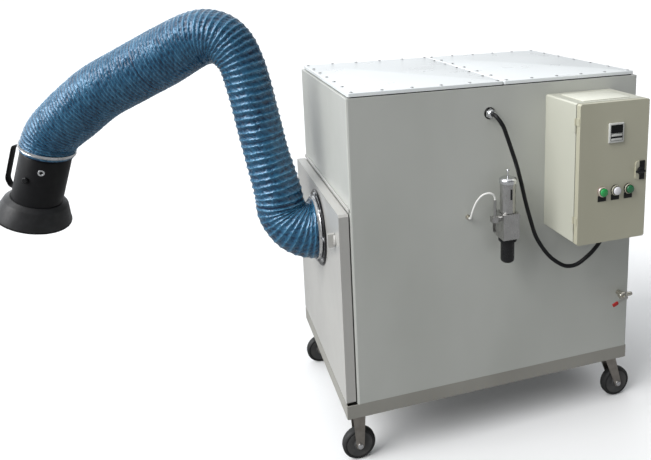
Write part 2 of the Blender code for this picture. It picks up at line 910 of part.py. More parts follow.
def make_latch():
    """A quarter-turn latch: a disc and wing outside, a cam behind the cabinet's frame. It rests undone."""
    at = latch_frame()
    mat = black_paint("latch_black")
    cam_z = DOOR_T + DOOR_SEAL_T + SHEET + RUN_GAP
    profile = [
        (0, -LATCH_DISC_T - GAP),
        (LATCH_R - LATCH_DISC_T / 2, -LATCH_DISC_T - GAP),
        (LATCH_R, -LATCH_DISC_T / 2),
        (LATCH_R, -GAP),
        (LATCH_SHAFT_R, -GAP),
        (LATCH_SHAFT_R, cam_z + 2 * LATCH_CAM_T),
        (0, cam_z + 2 * LATCH_CAM_T),
    ]
    latch = turned("door_latch", profile, 16, at, mat, origin=(DOOR_OUT_X, latch_y(), LATCH_Z))
    wing_at = at @ Matrix.Translation((0, 0, -LATCH_DISC_T / 2))
    wing = rounded_rect(LATCH_WING_T, LATCH_WING, LATCH_WING_T / 3)
    fuse(latch, extruded("latch_wing_tool", wing, -LATCH_WING_H, wing_at, mat))
    cam = cam_outline(LATCH_CAM, LATCH_CAM_W)
    fuse(latch, extruded("latch_cam_tool", cam, LATCH_CAM_T, at @ Matrix.Translation((0, 0, cam_z)), mat))
    return latch


def cam_outline(length, width):
    """A flat cam that hangs down from its shaft."""
    return [(x, y - length / 2 + width / 2) for x, y in rounded_rect(width, length, width / 3)]


def make_inlet_flange():
    mat = black_paint("flange_black")
    profile = [
        (SPIGOT_R - SPIGOT_WALL, DOOR_T - SHEET),
        (SPIGOT_R, DOOR_T - SHEET),
        (SPIGOT_R, -GAP),
        (FLANGE_R, -GAP),
        (FLANGE_R, -FLANGE_T),
        (FLANGE_R - FLANGE_LIP, -FLANGE_T - GAP),
        (SPIGOT_R, -FLANGE_T - GAP),
        (SPIGOT_R, -FLANGE_T - SPIGOT_REACH),
        (SPIGOT_R - SPIGOT_WALL, -FLANGE_T - SPIGOT_REACH),
    ]
    return turned("inlet_flange", profile, 28, inlet_frame(), mat)


# Arm


def arm_point(out, rise):
    return ARM_BASE + ARM_OUT * out + UP * rise


def shoulder():
    return arm_point(SHOULDER_OUT, SHOULDER_UP)


def elbow():
    return arm_point(ELBOW_OUT, ELBOW_UP)


def wrist():
    return arm_point(WRIST_OUT, WRIST_UP)


def hood_axis():
    return ARM_OUT * math.cos(HOOD_DROP) - UP * math.sin(HOOD_DROP)


def hood_frame():
    """Local Z runs from the hose's end down the hood, and local X points away from the cabinet."""
    z = hood_axis()
    y = ARM_SIDE
    x = y.cross(z)
    rot = Matrix((x, y, z)).transposed().to_4x4()
    return Matrix.Translation(arm_point(HOOD_OUT, HOOD_UP)) @ rot


def make_arm_bracket():
    """A bar across the inlet's spigot with the clevis and the upright pin of the arm's yaw."""
    steel = zinc("bracket_steel")
    x0 = DOOR_OUT_X - FLANGE_T - SPIGOT_REACH
    x1 = x0 + BRACKET_BAR_W
    reach = SPIGOT_R - SPIGOT_WALL - GAP
    edge = math.sqrt(reach**2 - (BRACKET_BAR_T / 2) ** 2) - GAP
    bracket = block_object(
        "arm_bracket",
        (x0, INLET_Y - BRACKET_BAR_T / 2, INLET_Z - edge),
        (x1, INLET_Y + BRACKET_BAR_T / 2, INLET_Z + edge),
        steel,
    )
    for side in (-1, 1):
        near = side * (YAW_BOSS_H / 2 + GAP)
        low, high = sorted((INLET_Z + near, INLET_Z + near + side * YAW_EAR_T))
        outline = ear_outline(YAW_BOSS_R, x0 + BRACKET_BAR_W / 2 - ARM_BASE.x)
        at = Matrix.Translation((ARM_BASE.x, INLET_Y, low))
        fuse(bracket, extruded("bracket_ear_%d" % side, outline, high - low, at, steel))
    half = YAW_BOSS_H / 2 + GAP + YAW_EAR_T * 3 / 4
    pin = bolt_profile(YAW_PIN_R, half, JOINT_HEAD_R, JOINT_HEAD_T)
    fuse(bracket, turned("yaw_pin_tool", pin, 10, Matrix.Translation(ARM_BASE), steel))
    return bracket


def ear_outline(radius, reach):
    """A flat ear, round about the local origin and square at its far end along local X."""
    points = []
    for i in range(7):
        a = math.pi / 2 + math.pi * i / 6
        points.append((radius * math.cos(a), radius * math.sin(a)))
    return points + [(reach, -radius), (reach, radius)]


def bolt_profile(radius, half, head_r, head_t):
    return [
        (0, -half - head_t),
        (head_r, -half - head_t),
        (head_r, -half),
        (radius, -half),
        (radius, half),
        (head_r, half),
        (head_r, half + head_t),
        (0, half + head_t),
    ]


def link_frame(at, towards):
    """Local X runs along the link from a pivot, and local Z along the pivot's axis."""
    x = (towards - at).normalized()
    z = ARM_SIDE
    y = z.cross(x)
    rot = Matrix((x, y, z)).transposed().to_4x4()
    return Matrix.Translation(at) @ rot


def add_eye(obj, at, towards, mat):
    place = link_frame(at, towards) @ Matrix.Translation((0, 0, -EYE_T / 2))
    outline = ear_outline(EAR_R, EYE_NECK + LINK_R)
    fuse(obj, extruded("%s_eye_tool_%d" % (obj.name, len(obj.modifiers)), outline, EYE_T, place, mat))


def add_fork(obj, at, towards, mat):
    """Two cheeks about a pivot, on a web, with the pivot's bolt between them."""
    place = link_frame(at, towards)
    near = EYE_T / 2 + GAP
    outline = ear_outline(EAR_R, WEB_NEAR + WEB_T * 3 / 4)
    for side in (-1, 1):
        low = min(side * near, side * (near + CHEEK_T))
        cheek_at = place @ Matrix.Translation((0, 0, low))
        fuse(obj, extruded("%s_cheek_tool_%d" % (obj.name, side), outline, CHEEK_T, cheek_at, mat))
    bm = bmesh.new()
    side = near + CHEEK_T / 2
    block(bm, (WEB_NEAR, -EAR_R + GAP, -side), (WEB_NEAR + WEB_T, EAR_R - GAP, side))
    bmesh.ops.transform(bm, matrix=place, verts=bm.verts)
    fuse(obj, add(obj.name + "_web_tool", bm, mat))
    fuse(obj, joint_bolt(obj.name, at, mat))


def cut_pivot(obj, at, mat):
    profile = rod_profile((JOINT_BOLT_R + GAP) / math.cos(math.pi / 8), -EYE_NECK, EYE_NECK)
    name = "%s_pivot_tool_%d" % (obj.name, len(obj.modifiers))
    cut(obj, turned(name, profile, 8, frame(at, ARM_SIDE), mat))


def link_rod(name, a, b, start, end, mat, origin):
    run = (b - a).normalized()
    bm = bmesh.new()
    rod_between(bm, a + run * start, b - run * end, LINK_R, 10)
    return add(name, bm, mat, True, origin)


def make_knuckle():
    """A boss on the upright pin, cranked out past the bracket's ears to the shoulder's fork."""
    steel = zinc("knuckle_steel")
    profile = rod_profile(YAW_BOSS_R, -YAW_BOSS_H / 2, YAW_BOSS_H / 2)
    knuckle = turned("arm_knuckle", profile, 14, Matrix.Translation(ARM_BASE), steel, origin=ARM_BASE)
    corner = arm_point(SHOULDER_OUT, 0)
    bm = bmesh.new()
    rod_between(bm, ARM_BASE, corner, CRANK_R, 10)
    fuse(knuckle, add("knuckle_crank_tool", bm, steel, True))
    bm = bmesh.new()
    rod_between(bm, corner - UP * LINK_R, shoulder() - UP * (WEB_NEAR + WEB_T / 4), LINK_R, 10)
    fuse(knuckle, add("knuckle_riser_tool", bm, steel, True))
    add_fork(knuckle, shoulder(), corner, steel)
    hole = rod_profile(YAW_PIN_R + GAP, -YAW_BOSS_H, YAW_BOSS_H)
    cut(knuckle, turned("knuckle_pin_hole", hole, 10, Matrix.Translation(ARM_BASE), steel))
    return knuckle


def make_lower_link():
    steel = paint("lower_link_steel", (0.30, 0.30, 0.31), 0.40, 0.8)
    link = link_rod("arm_lower_link", shoulder(), elbow(), EYE_NECK, EYE_NECK, steel, shoulder())
    add_eye(link, shoulder(), elbow(), steel)
    add_eye(link, elbow(), shoulder(), steel)
    cut_pivot(link, shoulder(), steel)
    cut_pivot(link, elbow(), steel)
    return link


def make_fore_link():
    steel = paint("fore_link_steel", (0.30, 0.30, 0.31), 0.40, 0.8)
    link = link_rod("arm_fore_link", elbow(), wrist(), WEB_NEAR + WEB_T / 4, EYE_NECK, steel, elbow())
    add_eye(link, wrist(), elbow(), steel)
    cut_pivot(link, wrist(), steel)
    add_fork(link, elbow(), wrist(), steel)
    return link


def eyelet_point():
    return hood_frame() @ Vector((0, 0, EYELET_DROP))


def make_hood_stem():
    steel = zinc("hood_stem_steel")
    stem = link_rod("hood_stem", wrist(), eyelet_point(), WEB_NEAR + WEB_T / 4, EYE_NECK, steel, wrist())
    add_eye(stem, eyelet_point(), wrist(), steel)
    add_fork(stem, wrist(), eyelet_point(), steel)
    fuse(stem, hood_bolt(steel))
    return stem


def joint_bolt(name, at, mat):
    half = EYE_T / 2 + GAP + CHEEK_T * 3 / 4
    profile = bolt_profile(JOINT_BOLT_R, half, JOINT_HEAD_R, JOINT_HEAD_T)
    return turned(name + "_bolt_tool", profile, 8, frame(at, ARM_SIDE), mat)


# Hose


def hose_line():
    """The hose's centre line as a function of length, with its direction and its whole length."""
    route = [ARM_BASE + ARM_OUT * a + ARM_SIDE * b + UP * c for a, b, c in HOSE_ROUTE]
    pts, length = smooth_points(route, HOSE_PITCH / 8)
    runs = np.linspace(0, length, len(pts))

    def at(run):
        return Vector([float(np.interp(run, runs, pts[:, k])) for k in range(3)])

    def heading(run):
        step = HOSE_PITCH / 4
        a = at(max(0.0, run - step))
        b = at(min(length, run + step))
        return (b - a).normalized()

    return at, heading, length


def table(pairs, share):
    xs, ys = zip(*pairs)
    return float(np.interp(share, xs, ys))


def rib_stations(length):
    """Lengths along the hose of its valleys (even) and crests (odd), drawn apart where it is stretched."""
    ribs = round(length / HOSE_PITCH)
    shares = np.linspace(0, 1, 2 * ribs + 1)
    steps = np.array([table(HOSE_STRETCH_SHARES, s) for s in (shares[1:] + shares[:-1]) / 2])
    run = np.concatenate([[0], np.cumsum(steps)])
    return run / run[-1] * length


def hose_rows(bm, runs, radii):
    """Rings of points about the hose's line, the first two and the last two on one straight line."""
    at, heading, length = hose_line()
    middles = [at(run) for run in runs]
    first = heading(runs[0])
    last = heading(runs[-1])
    middles[1] = middles[0] + first * (runs[1] - runs[0])
    middles[-2] = middles[-1] - last * (runs[-1] - runs[-2])
    rows = []
    for k, (middle, radius) in enumerate(zip(middles, radii)):
        along = (middles[min(k + 1, len(runs) - 1)] - middles[max(k - 1, 0)]).normalized()
        if k < 2:
            along = first
        if k > len(runs) - 3:
            along = last
        if k == 0:
            middle = middle + first * (GAP / 2)
        if k == len(runs) - 1:
            middle = middle - last * (GAP / 2)
        side = along.cross(ARM_SIDE).normalized()
        up = along.cross(side)
        row = []
        for i in range(HOSE_SIDES):
            a = math.tau * i / HOSE_SIDES
            row.append(bm.verts.new(middle + (side * math.cos(a) + up * math.sin(a)) * radius))
        rows.append(row)
    return rows


def join_rows(bm, rows):
    for a, b in zip(rows, rows[1:]):
        for i in range(len(a)):
            j = (i + 1) % len(a)
            bm.faces.new((a[i], a[j], b[j], b[i]))


def make_hose():
    """The hose, as four ribbed sections, each of which bends over one joint of the arm inside it."""
    mat = paint("hose_blue", (0.045, 0.16, 0.30), 0.45)
    length = hose_line()[2]
    stations = rib_stations(length)
    splits = [0]
    for share in HOSE_SPLIT_SHARES:
        splits.append(2 * round(int(np.searchsorted(stations, share * length)) / 2))
    splits.append(len(stations) - 1)
    names = ("hose_inlet_bend", "hose_shoulder", "hose_elbow", "hose_forearm")
    for name, a, b in zip(names, splits, splits[1:]):
        runs = stations[a : b + 1]
        radii = [table(HOSE_RADII, run / length) for run in runs]
        ribs = [radius - (HOSE_RIB if k % 2 == 0 else 0) for k, radius in enumerate(radii)]
        count = max(4, round((runs[-1] - runs[0]) / HOSE_BORE_STEP) + 1)
        bore_runs = np.linspace(runs[0], runs[-1], count)
        bore = [table(HOSE_RADII, run / length) - HOSE_WALL for run in bore_runs]
        bm = bmesh.new()
        outer = hose_rows(bm, runs, ribs)
        inner = hose_rows(bm, bore_runs, bore)
        join_rows(bm, outer)
        join_rows(bm, inner)
        join_rows(bm, [inner[0], outer[0]])
        join_rows(bm, [outer[-1], inner[-1]])
        add(name, bm, mat, True)
    print("hose length %.3f m, %d ribs" % (length, (len(stations) - 1) // 2))


def make_clamps():
    steel = paint("clamp_steel", (0.70, 0.70, 0.72), 0.25, 1.0)
    inner = HOSE_R_FLANGE + CLAMP_T / 2
    start = -FLANGE_T - CLAMP_W - CLAMP_T
    band = tube_profile(inner + CLAMP_T, inner, start, start + CLAMP_W)
    turned("inlet_clamp", band, 24, inlet_frame(), steel)
    inner = HOSE_R_HOOD + CLAMP_T / 2
    low = -CLAMP_W - HOSE_PITCH / 2
    turned("hood_clamp", tube_profile(inner + CLAMP_T, inner, low, low + CLAMP_W), 24, hood_frame(), steel)


# Hood


def make_hood():
    mat = black_paint("hood_black")
    inner = NECK_R - NECK_WALL
    neck_profile = [
        (NECK_TOP_R - NECK_WALL, -NECK_TOP_LEN),
        (NECK_TOP_R, -NECK_TOP_LEN),
        (NECK_TOP_R, GAP),
        (NECK_R, NECK_SHOULDER),
        (NECK_R, NECK_LEN),
        (inner, NECK_LEN),
        (inner, NECK_SHOULDER + NECK_WALL),
        (NECK_TOP_R - NECK_WALL, GAP + NECK_WALL),
    ]
    neck = turned("hood_neck", neck_profile, 24, hood_frame(), mat, origin=wrist())
    hole = turned(
        "neck_bolt_hole",
        rod_profile(STEM_BOLT_R + GAP, -2 * NECK_R, 2 * NECK_R),
        8,
        frame(eyelet_point(), ARM_SIDE),
        mat,
    )
    cut(neck, hole)
    foot = NECK_LEN - FLARE_SOCKET
    socket = NECK_R + GAP
    flare_profile = [
        (socket, foot),
        (socket + FLARE_RIM, foot),
        (FLARE_TOP_R, foot + FLARE_SOCKET),
        (FLARE_MOUTH_R, foot + FLARE_SOCKET + FLARE_LEN - FLARE_RIM),
        (FLARE_MOUTH_R, foot + FLARE_SOCKET + FLARE_LEN),
        (FLARE_MOUTH_R - NECK_WALL, foot + FLARE_SOCKET + FLARE_LEN),
        (FLARE_TOP_R - NECK_WALL, foot + FLARE_SOCKET + NECK_WALL),
        (socket, foot + NECK_WALL + FLARE_RIM),
    ]
    turned("hood_flare", flare_profile, 24, hood_frame(), black_paint("flare_black"), origin=wrist())


def hood_bolt(mat):
    """The cross bolt that holds the hood to its stem, with a washer on each side."""
    half = NECK_R + GAP
    profile = [
        (0, -half - EYELET_T - JOINT_HEAD_T),
        (JOINT_HEAD_R, -half - EYELET_T - JOINT_HEAD_T),
        (JOINT_HEAD_R, -half - EYELET_T),
        (EYELET_R, -half - EYELET_T),
        (EYELET_R, -half),
        (STEM_BOLT_R, -half),
        (STEM_BOLT_R, half),
        (EYELET_R, half),
        (EYELET_R, half + EYELET_T),
        (JOINT_HEAD_R, half + EYELET_T),
        (JOINT_HEAD_R, half + EYELET_T + JOINT_HEAD_T),
        (0, half + EYELET_T + JOINT_HEAD_T),
    ]
    return turned("hood_bolt_tool", profile, 12, frame(eyelet_point(), ARM_SIDE), mat)


def make_hood_handle():
    """A flat strip bent into a handle along the outer side of the neck."""
    foot = NECK_R + GAP
    out = NECK_R + GRIP_OUT
    knee = GRIP_FOOT - GRIP_FOOT_RISE
    elbow_out = foot + GRIP_OUT / 2
    outer = [
        (foot, GRIP_TOP - GRIP_T),
        (out, GRIP_TOP + GRIP_TOP_RISE - GRIP_T),
        (out, knee),
        (elbow_out + GRIP_T, GRIP_FOOT + GRIP_T / 2),
        (foot, GRIP_FOOT + GRIP_T / 2),
    ]
    inner = [
        (foot, GRIP_FOOT - GRIP_T / 2),
        (elbow_out, GRIP_FOOT - GRIP_T / 2),
        (out - GRIP_T, knee - GRIP_T / 2),
        (out - GRIP_T, GRIP_TOP + GRIP_TOP_RISE),
        (foot, GRIP_TOP),
    ]
    # The outline lies in the hood's local XZ plane and is raised along its local Y
    place = hood_frame() @ Matrix.Rotation(math.pi / 2, 4, "X") @ Matrix.Translation((0, 0, -GRIP_W / 2))
    black = black_paint("handle_black")
    handle = extruded("hood_handle", outer + inner, GRIP_W, place, black, origin=wrist())
    return handle


# Control box


def make_control_box():
    mat = cream_paint("control_box_paint")
    x0 = BOX_X - BOX_W / 2
    box = extruded(
        "control_box",
        rounded_rect(BOX_W, BOX_H, BOX_CORNER_R, 1),
        BOX_BODY_D,
        frame((BOX_X, BOX_BACK_Y, BOX_Z + BOX_H / 2), (0, -1, 0)),
        mat,
    )
    wall = BOX_WALL
    room = block_object(
        "control_box_room",
        (x0 + wall, BOX_FRONT_Y + wall, BOX_Z + wall),
        (x0 + BOX_W - wall, BOX_BACK_Y - wall, BOX_Z + BOX_H - wall),
        mat,
    )
    cut(box, room)
    mouth = block_object(
        "control_box_mouth",
        (x0 + BOX_LIP, BOX_FRONT_Y - OVERRUN, BOX_Z + BOX_LIP),
        (x0 + BOX_W - BOX_LIP, BOX_FRONT_Y + 2 * wall, BOX_Z + BOX_H - BOX_LIP),
        mat,
    )
    cut(box, mouth)
    under = frame((CABLE_IN_X, BOX_BACK_Y - CABLE_IN_OUT, BOX_Z), (0, 0, -1))
    entry = rod_profile((GLAND_BODY_R + CABLE_R) / 2, -2 * wall, OVERRUN)
    cut(box, turned("control_box_entry", entry, 12, under, mat))
    fuse(box, turned("box_gland_tool", gland_profile(CABLE_R + GAP, -wall / 2), 12, under, mat))
    return box


def make_control_door():
    mat = cream_paint("control_door_paint")
    axis = (BOX_HINGE_X, BOX_HINGE_Y, BOX_Z + BOX_H / 2)
    x0 = BOX_X - BOX_W / 2
    at = frame((BOX_X, BOX_DOOR_BACK_Y, BOX_Z + BOX_H / 2), (0, -1, 0))
    outline = rounded_rect(BOX_W, BOX_H, BOX_CORNER_R, 1)
    door = extruded("control_box_door", outline, BOX_DOOR_T, at, mat, origin=axis)
    room = block_object(
        "control_door_room",
        (x0 + BOX_WALL, BOX_DOOR_FRONT_Y + BOX_WALL, BOX_Z + BOX_WALL),
        (x0 + BOX_W - BOX_WALL, BOX_DOOR_BACK_Y + OVERRUN, BOX_Z + BOX_H - BOX_WALL),
        mat,
    )
    cut(door, room)
    x, z = meter_place()
    half_w = METER_W / 2 * METER_BACK_SHARE + GAP
    half_h = METER_H / 2 * METER_BACK_SHARE + GAP
    window = block_object(
        "meter_hole",
        (x - half_w, BOX_DOOR_FRONT_Y - OVERRUN, z - half_h),
        (x + half_w, BOX_DOOR_FRONT_Y + 2 * BOX_WALL, z + half_h),
        mat,
    )
    cut(door, window)
    holes = bmesh.new()
    for x, z in button_places():
        radius = (BUTTON_R + BEZEL_BACK_R) / 2
        turn_profile(holes, rod_profile(radius, -OVERRUN, 2 * BOX_WALL), 14, face_frame(x, z, 1))
    x, z = lock_place()
    shaft = rod_profile(LOCK_SHAFT_R + GAP, -LOCK_T - OVERRUN, 2 * BOX_WALL)
    turn_profile(holes, shaft, 12, face_frame(x, z, 1))
    fuse(door, lock_plate(mat))
    cut(door, add("control_door_holes", holes, mat))
    fuse(door, button_bezels(mat))
    return door


def face_frame(x, z, into):
    """On the control door's face, local Z into the box or out of it."""
    return frame((x, BOX_DOOR_FRONT_Y, z), (0, into, 0))


def meter_place():
    return BOX_X + METER_X, BOX_Z + METER_UP


def button_places():
    return [(BOX_X + BUTTON_OUT + BUTTON_PITCH * (i - 1), BOX_Z + BUTTON_UP) for i in range(3)]


def lock_place():
    return BOX_X + LOCK_OUT, BOX_Z + LOCK_UP


def make_control_seal():
    bm = bmesh.new()
    outer = rounded_rect(BOX_W - BOX_WALL, BOX_H - BOX_WALL, BOX_CORNER_R)
    inner = rounded_rect(BOX_W - 2 * BOX_LIP + BOX_WALL, BOX_H - 2 * BOX_LIP + BOX_WALL, BOX_CORNER_R)
    at = frame((BOX_X, BOX_FRONT_Y - GAP, BOX_Z + BOX_H / 2), (0, -1, 0))
    rect_ring(bm, outer, inner, BOX_SEAL_T - 2 * GAP, at)
    return add("control_box_seal", bm, rubber("control_seal_rubber"))


def control_hinge_heights():
    return BOX_Z + BOX_HINGE_INSET, BOX_Z + BOX_H - BOX_HINGE_INSET


def add_control_hinges(box, door):
    """Lift-off hinges: the lower halves and their pins are on the box, and the upper halves on its door."""
    steel = cream_paint("control_box_paint")
    lower = bmesh.new()
    upper = bmesh.new()
    leaves_low = bmesh.new()
    leaves_up = bmesh.new()
    half = BOX_HINGE_LEN / 2
    at = Matrix.Translation((BOX_HINGE_X, BOX_HINGE_Y, 0))
    x1 = BOX_X - BOX_W / 2 + BOX_WALL / 2
    x0 = x1 - BOX_WALL / 2 - GAP - BOX_LEAF_T
    for z in control_hinge_heights():
        stepped = [
            (0, z - half),
            (BOX_HINGE_R, z - half),
            (BOX_HINGE_R, z - GAP),
            (BOX_HINGE_PIN_R, z - GAP),
            (BOX_HINGE_PIN_R, z + half - GAP),
            (0, z + half - GAP),
        ]
        turn_profile(lower, stepped, 8, at)
        turn_profile(upper, tube_profile(BOX_HINGE_R, BOX_HINGE_PIN_R + GAP, z + GAP, z + half), 8, at)
        block(leaves_low, (x0, BOX_FRONT_Y + GAP, z - half + GAP), (x1, BOX_FRONT_Y + BOX_LEAF, z - 2 * GAP))
        leaf_low = (x0, BOX_DOOR_BACK_Y - BOX_LEAF, z + 2 * GAP)
        block(leaves_up, leaf_low, (x1, BOX_DOOR_BACK_Y - GAP, z + half - GAP))
    fuse(box, add("control_hinge_low_tool", lower, steel, True))
    fuse(box, add("control_leaf_low_tool", leaves_low, steel))
    fuse(door, add("control_hinge_up_tool", upper, steel, True))
    fuse(door, add("control_leaf_up_tool", leaves_up, steel))


def make_meter():
    x, z = meter_place()
    mat = paint("meter_frame", (0.55, 0.56, 0.55), 0.35, 0.6)
    front = BOX_DOOR_FRONT_Y - GAP
    meter = block_object(
        "meter",
        (x - METER_W / 2, front - METER_T, z - METER_H / 2),
        (x + METER_W / 2, front, z + METER_H / 2),
        mat,
    )
    half_w = METER_W / 2 * METER_BACK_SHARE
    half_h = METER_H / 2 * METER_BACK_SHARE
    back = block_object("meter_back_tool", (x - half_w, front - METER_T / 2, z - half_h),
                        (x + half_w, front + METER_BACK, z + half_h), mat)
    fuse(meter, back)
    return meter


def button_bezels(mat):
    """The bezels of the three buttons, each a cup through the door with a collar on its face."""
    bezels = bmesh.new()
    for x, z in button_places():
        profile = [
            (0, BEZEL_T),
            (BUTTON_R + GAP, BEZEL_T),
            (BUTTON_R + GAP, -BEZEL_T),
            (BEZEL_R - BEZEL_T / 4, -BEZEL_T),
            (BEZEL_R, -BEZEL_T * 3 / 4),
            (BEZEL_R, BOX_WALL / 2),
            (BEZEL_BACK_R, BOX_WALL / 2),
            (BEZEL_BACK_R, BUTTON_BACK),
            (0, BUTTON_BACK),
        ]
        turn_profile(bezels, profile, 14, face_frame(x, z, 1))
    return add("button_bezels_tool", bezels, mat, True)


def make_buttons():
    colours = (
        ("green_left", (0.02, 0.30, 0.10)),
        ("white", (0.75, 0.76, 0.74)),
        ("green_right", (0.01, 0.16, 0.06)),
    )
    foot = BEZEL_T - BUTTON_TRAVEL - GAP
    top = -BEZEL_T - BUTTON_TRAVEL - GAP
    profile = [
        (0, top - BUTTON_TRAVEL / 3),
        (BUTTON_R - BUTTON_TRAVEL / 3, top - BUTTON_TRAVEL / 3),
        (BUTTON_R - GAP, top),
        (BUTTON_R - GAP, foot),
        (0, foot),
    ]
    for (name, colour), (x, z) in zip(colours, button_places()):
        mat = paint(name + "_button", colour, 0.3)
        turned("button_" + name, profile, 14, face_frame(x, z, 1), mat, origin=(x, BOX_DOOR_FRONT_Y, z))


def lock_plate(mat):
    x, z = lock_place()
    at = frame((x, BOX_DOOR_FRONT_Y + BOX_WALL / 2, z), (0, -1, 0))
    outline = rounded_rect(LOCK_W, LOCK_H, LOCK_W / 4, 2)
    return extruded("lock_plate_tool", outline, LOCK_T + BOX_WALL / 2, at, mat)


def make_lock():
    """The lock's knob outside the door, and its cam behind the box's rim. It rests undone."""
    x, z = lock_place()
    top = -GAP - LOCK_T
    cam_z = BOX_DOOR_T + BOX_SEAL_T + BOX_WALL + RUN_GAP
    profile = [
        (0, top - LOCK_KNOB_T),
        (LOCK_KNOB_R - LOCK_T / 2, top - LOCK_KNOB_T),
        (LOCK_KNOB_R, top - LOCK_KNOB_T + LOCK_T / 2),
        (LOCK_KNOB_R, top),
        (LOCK_SHAFT_R, top),
        (LOCK_SHAFT_R, cam_z + 2 * LOCK_CAM_T),
        (0, cam_z + 2 * LOCK_CAM_T),
    ]
    mat = black_paint("lock_knob_black")
    knob = turned("lock_knob", profile, 14, face_frame(x, z, 1), mat, origin=(x, BOX_DOOR_FRONT_Y, z))
    place = face_frame(x, z, 1) @ Matrix.Translation((0, 0, cam_z))
    fuse(knob, extruded("lock_cam_tool", cam_outline(LOCK_CAM, LOCK_CAM_W), LOCK_CAM_T, place, mat))


def make_control_gear():
    """The mounting plate, contactor and terminal strip behind the control door."""
    steel = zinc("mounting_plate_zinc")
    back = BOX_BACK_Y - BOX_WALL - GAP
    x0 = BOX_X - BOX_W / 2 + PLATE_INSET
    x1 = BOX_X + BOX_W / 2 - PLATE_INSET
    z0 = BOX_Z + PLATE_INSET
    z1 = BOX_Z + BOX_H - PLATE_INSET
    face = back - PLATE_STAND - PLATE_T
    plate = block_object("mounting_plate", (x0, face, z0), (x1, back - PLATE_STAND, z1), steel)
    studs = bmesh.new()
    for x in (x0 + PLATE_INSET / 2, x1 - PLATE_INSET / 2):
        for z in (z0 + PLATE_INSET / 2, z1 - PLATE_INSET / 2):
            rod_between(studs, (x, back, z), (x, back - PLATE_STAND - PLATE_T / 2, z), PLATE_INSET / 6, 8)
    fuse(plate, add("mounting_studs_tool", studs, steel))
    mid = (z0 + z1) / 2
    gear = face + PLATE_T / 2
    contactor = block_object(
        "contactor_tool",
        (BOX_X - CONTACTOR_W / 2, gear - CONTACTOR_D, mid + CONTACTOR_UP - CONTACTOR_H / 2),
        (BOX_X + CONTACTOR_W / 2, gear, mid + CONTACTOR_UP + CONTACTOR_H / 2),
        steel,
    )
    step = CONTACTOR_H / 4
    front = block_object(
        "contactor_step_tool",
        (BOX_X - CONTACTOR_W, gear - CONTACTOR_D - OVERRUN, mid + CONTACTOR_UP + step),
        (BOX_X + CONTACTOR_W, gear - CONTACTOR_D / 2, mid + CONTACTOR_UP + CONTACTOR_H),
        steel,
    )
    cut(contactor, front)
    strip = block_object(
        "terminal_strip_tool",
        (BOX_X - TERMINAL_W / 2, gear - TERMINAL_D, z0 + TERMINAL_UP - TERMINAL_H / 2),
        (BOX_X + TERMINAL_W / 2, gear, z0 + TERMINAL_UP + TERMINAL_H / 2),
        steel,
    )
    slot = block_object(
        "terminal_slot_tool",
        (BOX_X - TERMINAL_W, gear - TERMINAL_D - OVERRUN, z0 + TERMINAL_UP - TERMINAL_H / 6),
        (BOX_X + TERMINAL_W, gear - TERMINAL_D * 2 / 3, z0 + TERMINAL_UP + TERMINAL_H / 6),
        steel,
    )
    cut(strip, slot)
    fuse(plate, contactor)
    fuse(plate, strip)


# Cable and glands


def gland_profile(inner, foot):
    return [
        (inner, foot),
        (GLAND_R, foot),
        (GLAND_R, GLAND_NUT_T),
        (GLAND_BODY_R, GLAND_NUT_T),
        (GLAND_BODY_R, GLAND_NUT_T + GLAND_BODY_LEN - CABLE_R / 2),
        (inner + CABLE_R / 4, GLAND_NUT_T + GLAND_BODY_LEN),
        (inner, GLAND_NUT_T + GLAND_BODY_LEN),
    ]


def make_cable():
    mat = zinc("gland_steel")
    inner = CABLE_R + GAP
    turned("cable_gland", gland_profile(inner, GAP), 12, frame((GLAND_X, FRONT, GLAND_Z), (0, -1, 0)), mat)
    points, length = smooth_points(CABLE_ROUTE, 4 * CABLE_R)
    print("cable length %.3f m" % length)
    black = paint("cable_black", (0.010, 0.010, 0.010), 0.5)
    curve_tube("control_cable", points, [CABLE_R] * len(points), 2, black)


# Compressed air filter


def filter_at(z=0.0):
    return Matrix.Translation((FILTER_X, FRONT - FILTER_OUT, z))


def make_filter():
    alloy = paint("filter_alloy", (0.62, 0.62, 0.62), 0.28, 0.9)
    y = FRONT - FILTER_OUT
    half = FILTER_HEAD_W / 2
    low = FILTER_HEAD_Z
    high = low + FILTER_HEAD_H
    port_z = low + PORT_UP
    corner = (FILTER_X + half, y + half, high)
    head = block_object("filter_head", (FILTER_X - half, y - half, low), corner, alloy)
    ports = bmesh.new()
    reach = half + PORT_LEN
    rod_between(ports, (FILTER_X - reach, y, port_z), (FILTER_X + reach, y, port_z), PORT_R, 10)
    fuse(head, add("filter_ports_tool", ports, alloy, True))
    plate_y = FRONT - GAP - BRACKET_T
    low_corner = (FILTER_X - BRACKET_W / 2, plate_y, low - GAP)
    high_corner = (FILTER_X + BRACKET_W / 2, FRONT - GAP, low + BRACKET_H)
    plate = block_object("bracket_plate_tool", low_corner, high_corner, alloy)
    arm_low = (FILTER_X - BRACKET_W / 4, y + half - BRACKET_T, low + BRACKET_T)
    arm_high = (FILTER_X + BRACKET_W / 4, FRONT - BRACKET_T / 2, low + BRACKET_H - BRACKET_T)
    arm = block_object("bracket_arm_tool", arm_low, arm_high, alloy)
    fuse(head, arm)
    fuse(head, plate)
    add_tube_elbow(head, alloy)
    make_bonnet(high + GAP, alloy)
    make_bowl(low - GAP)


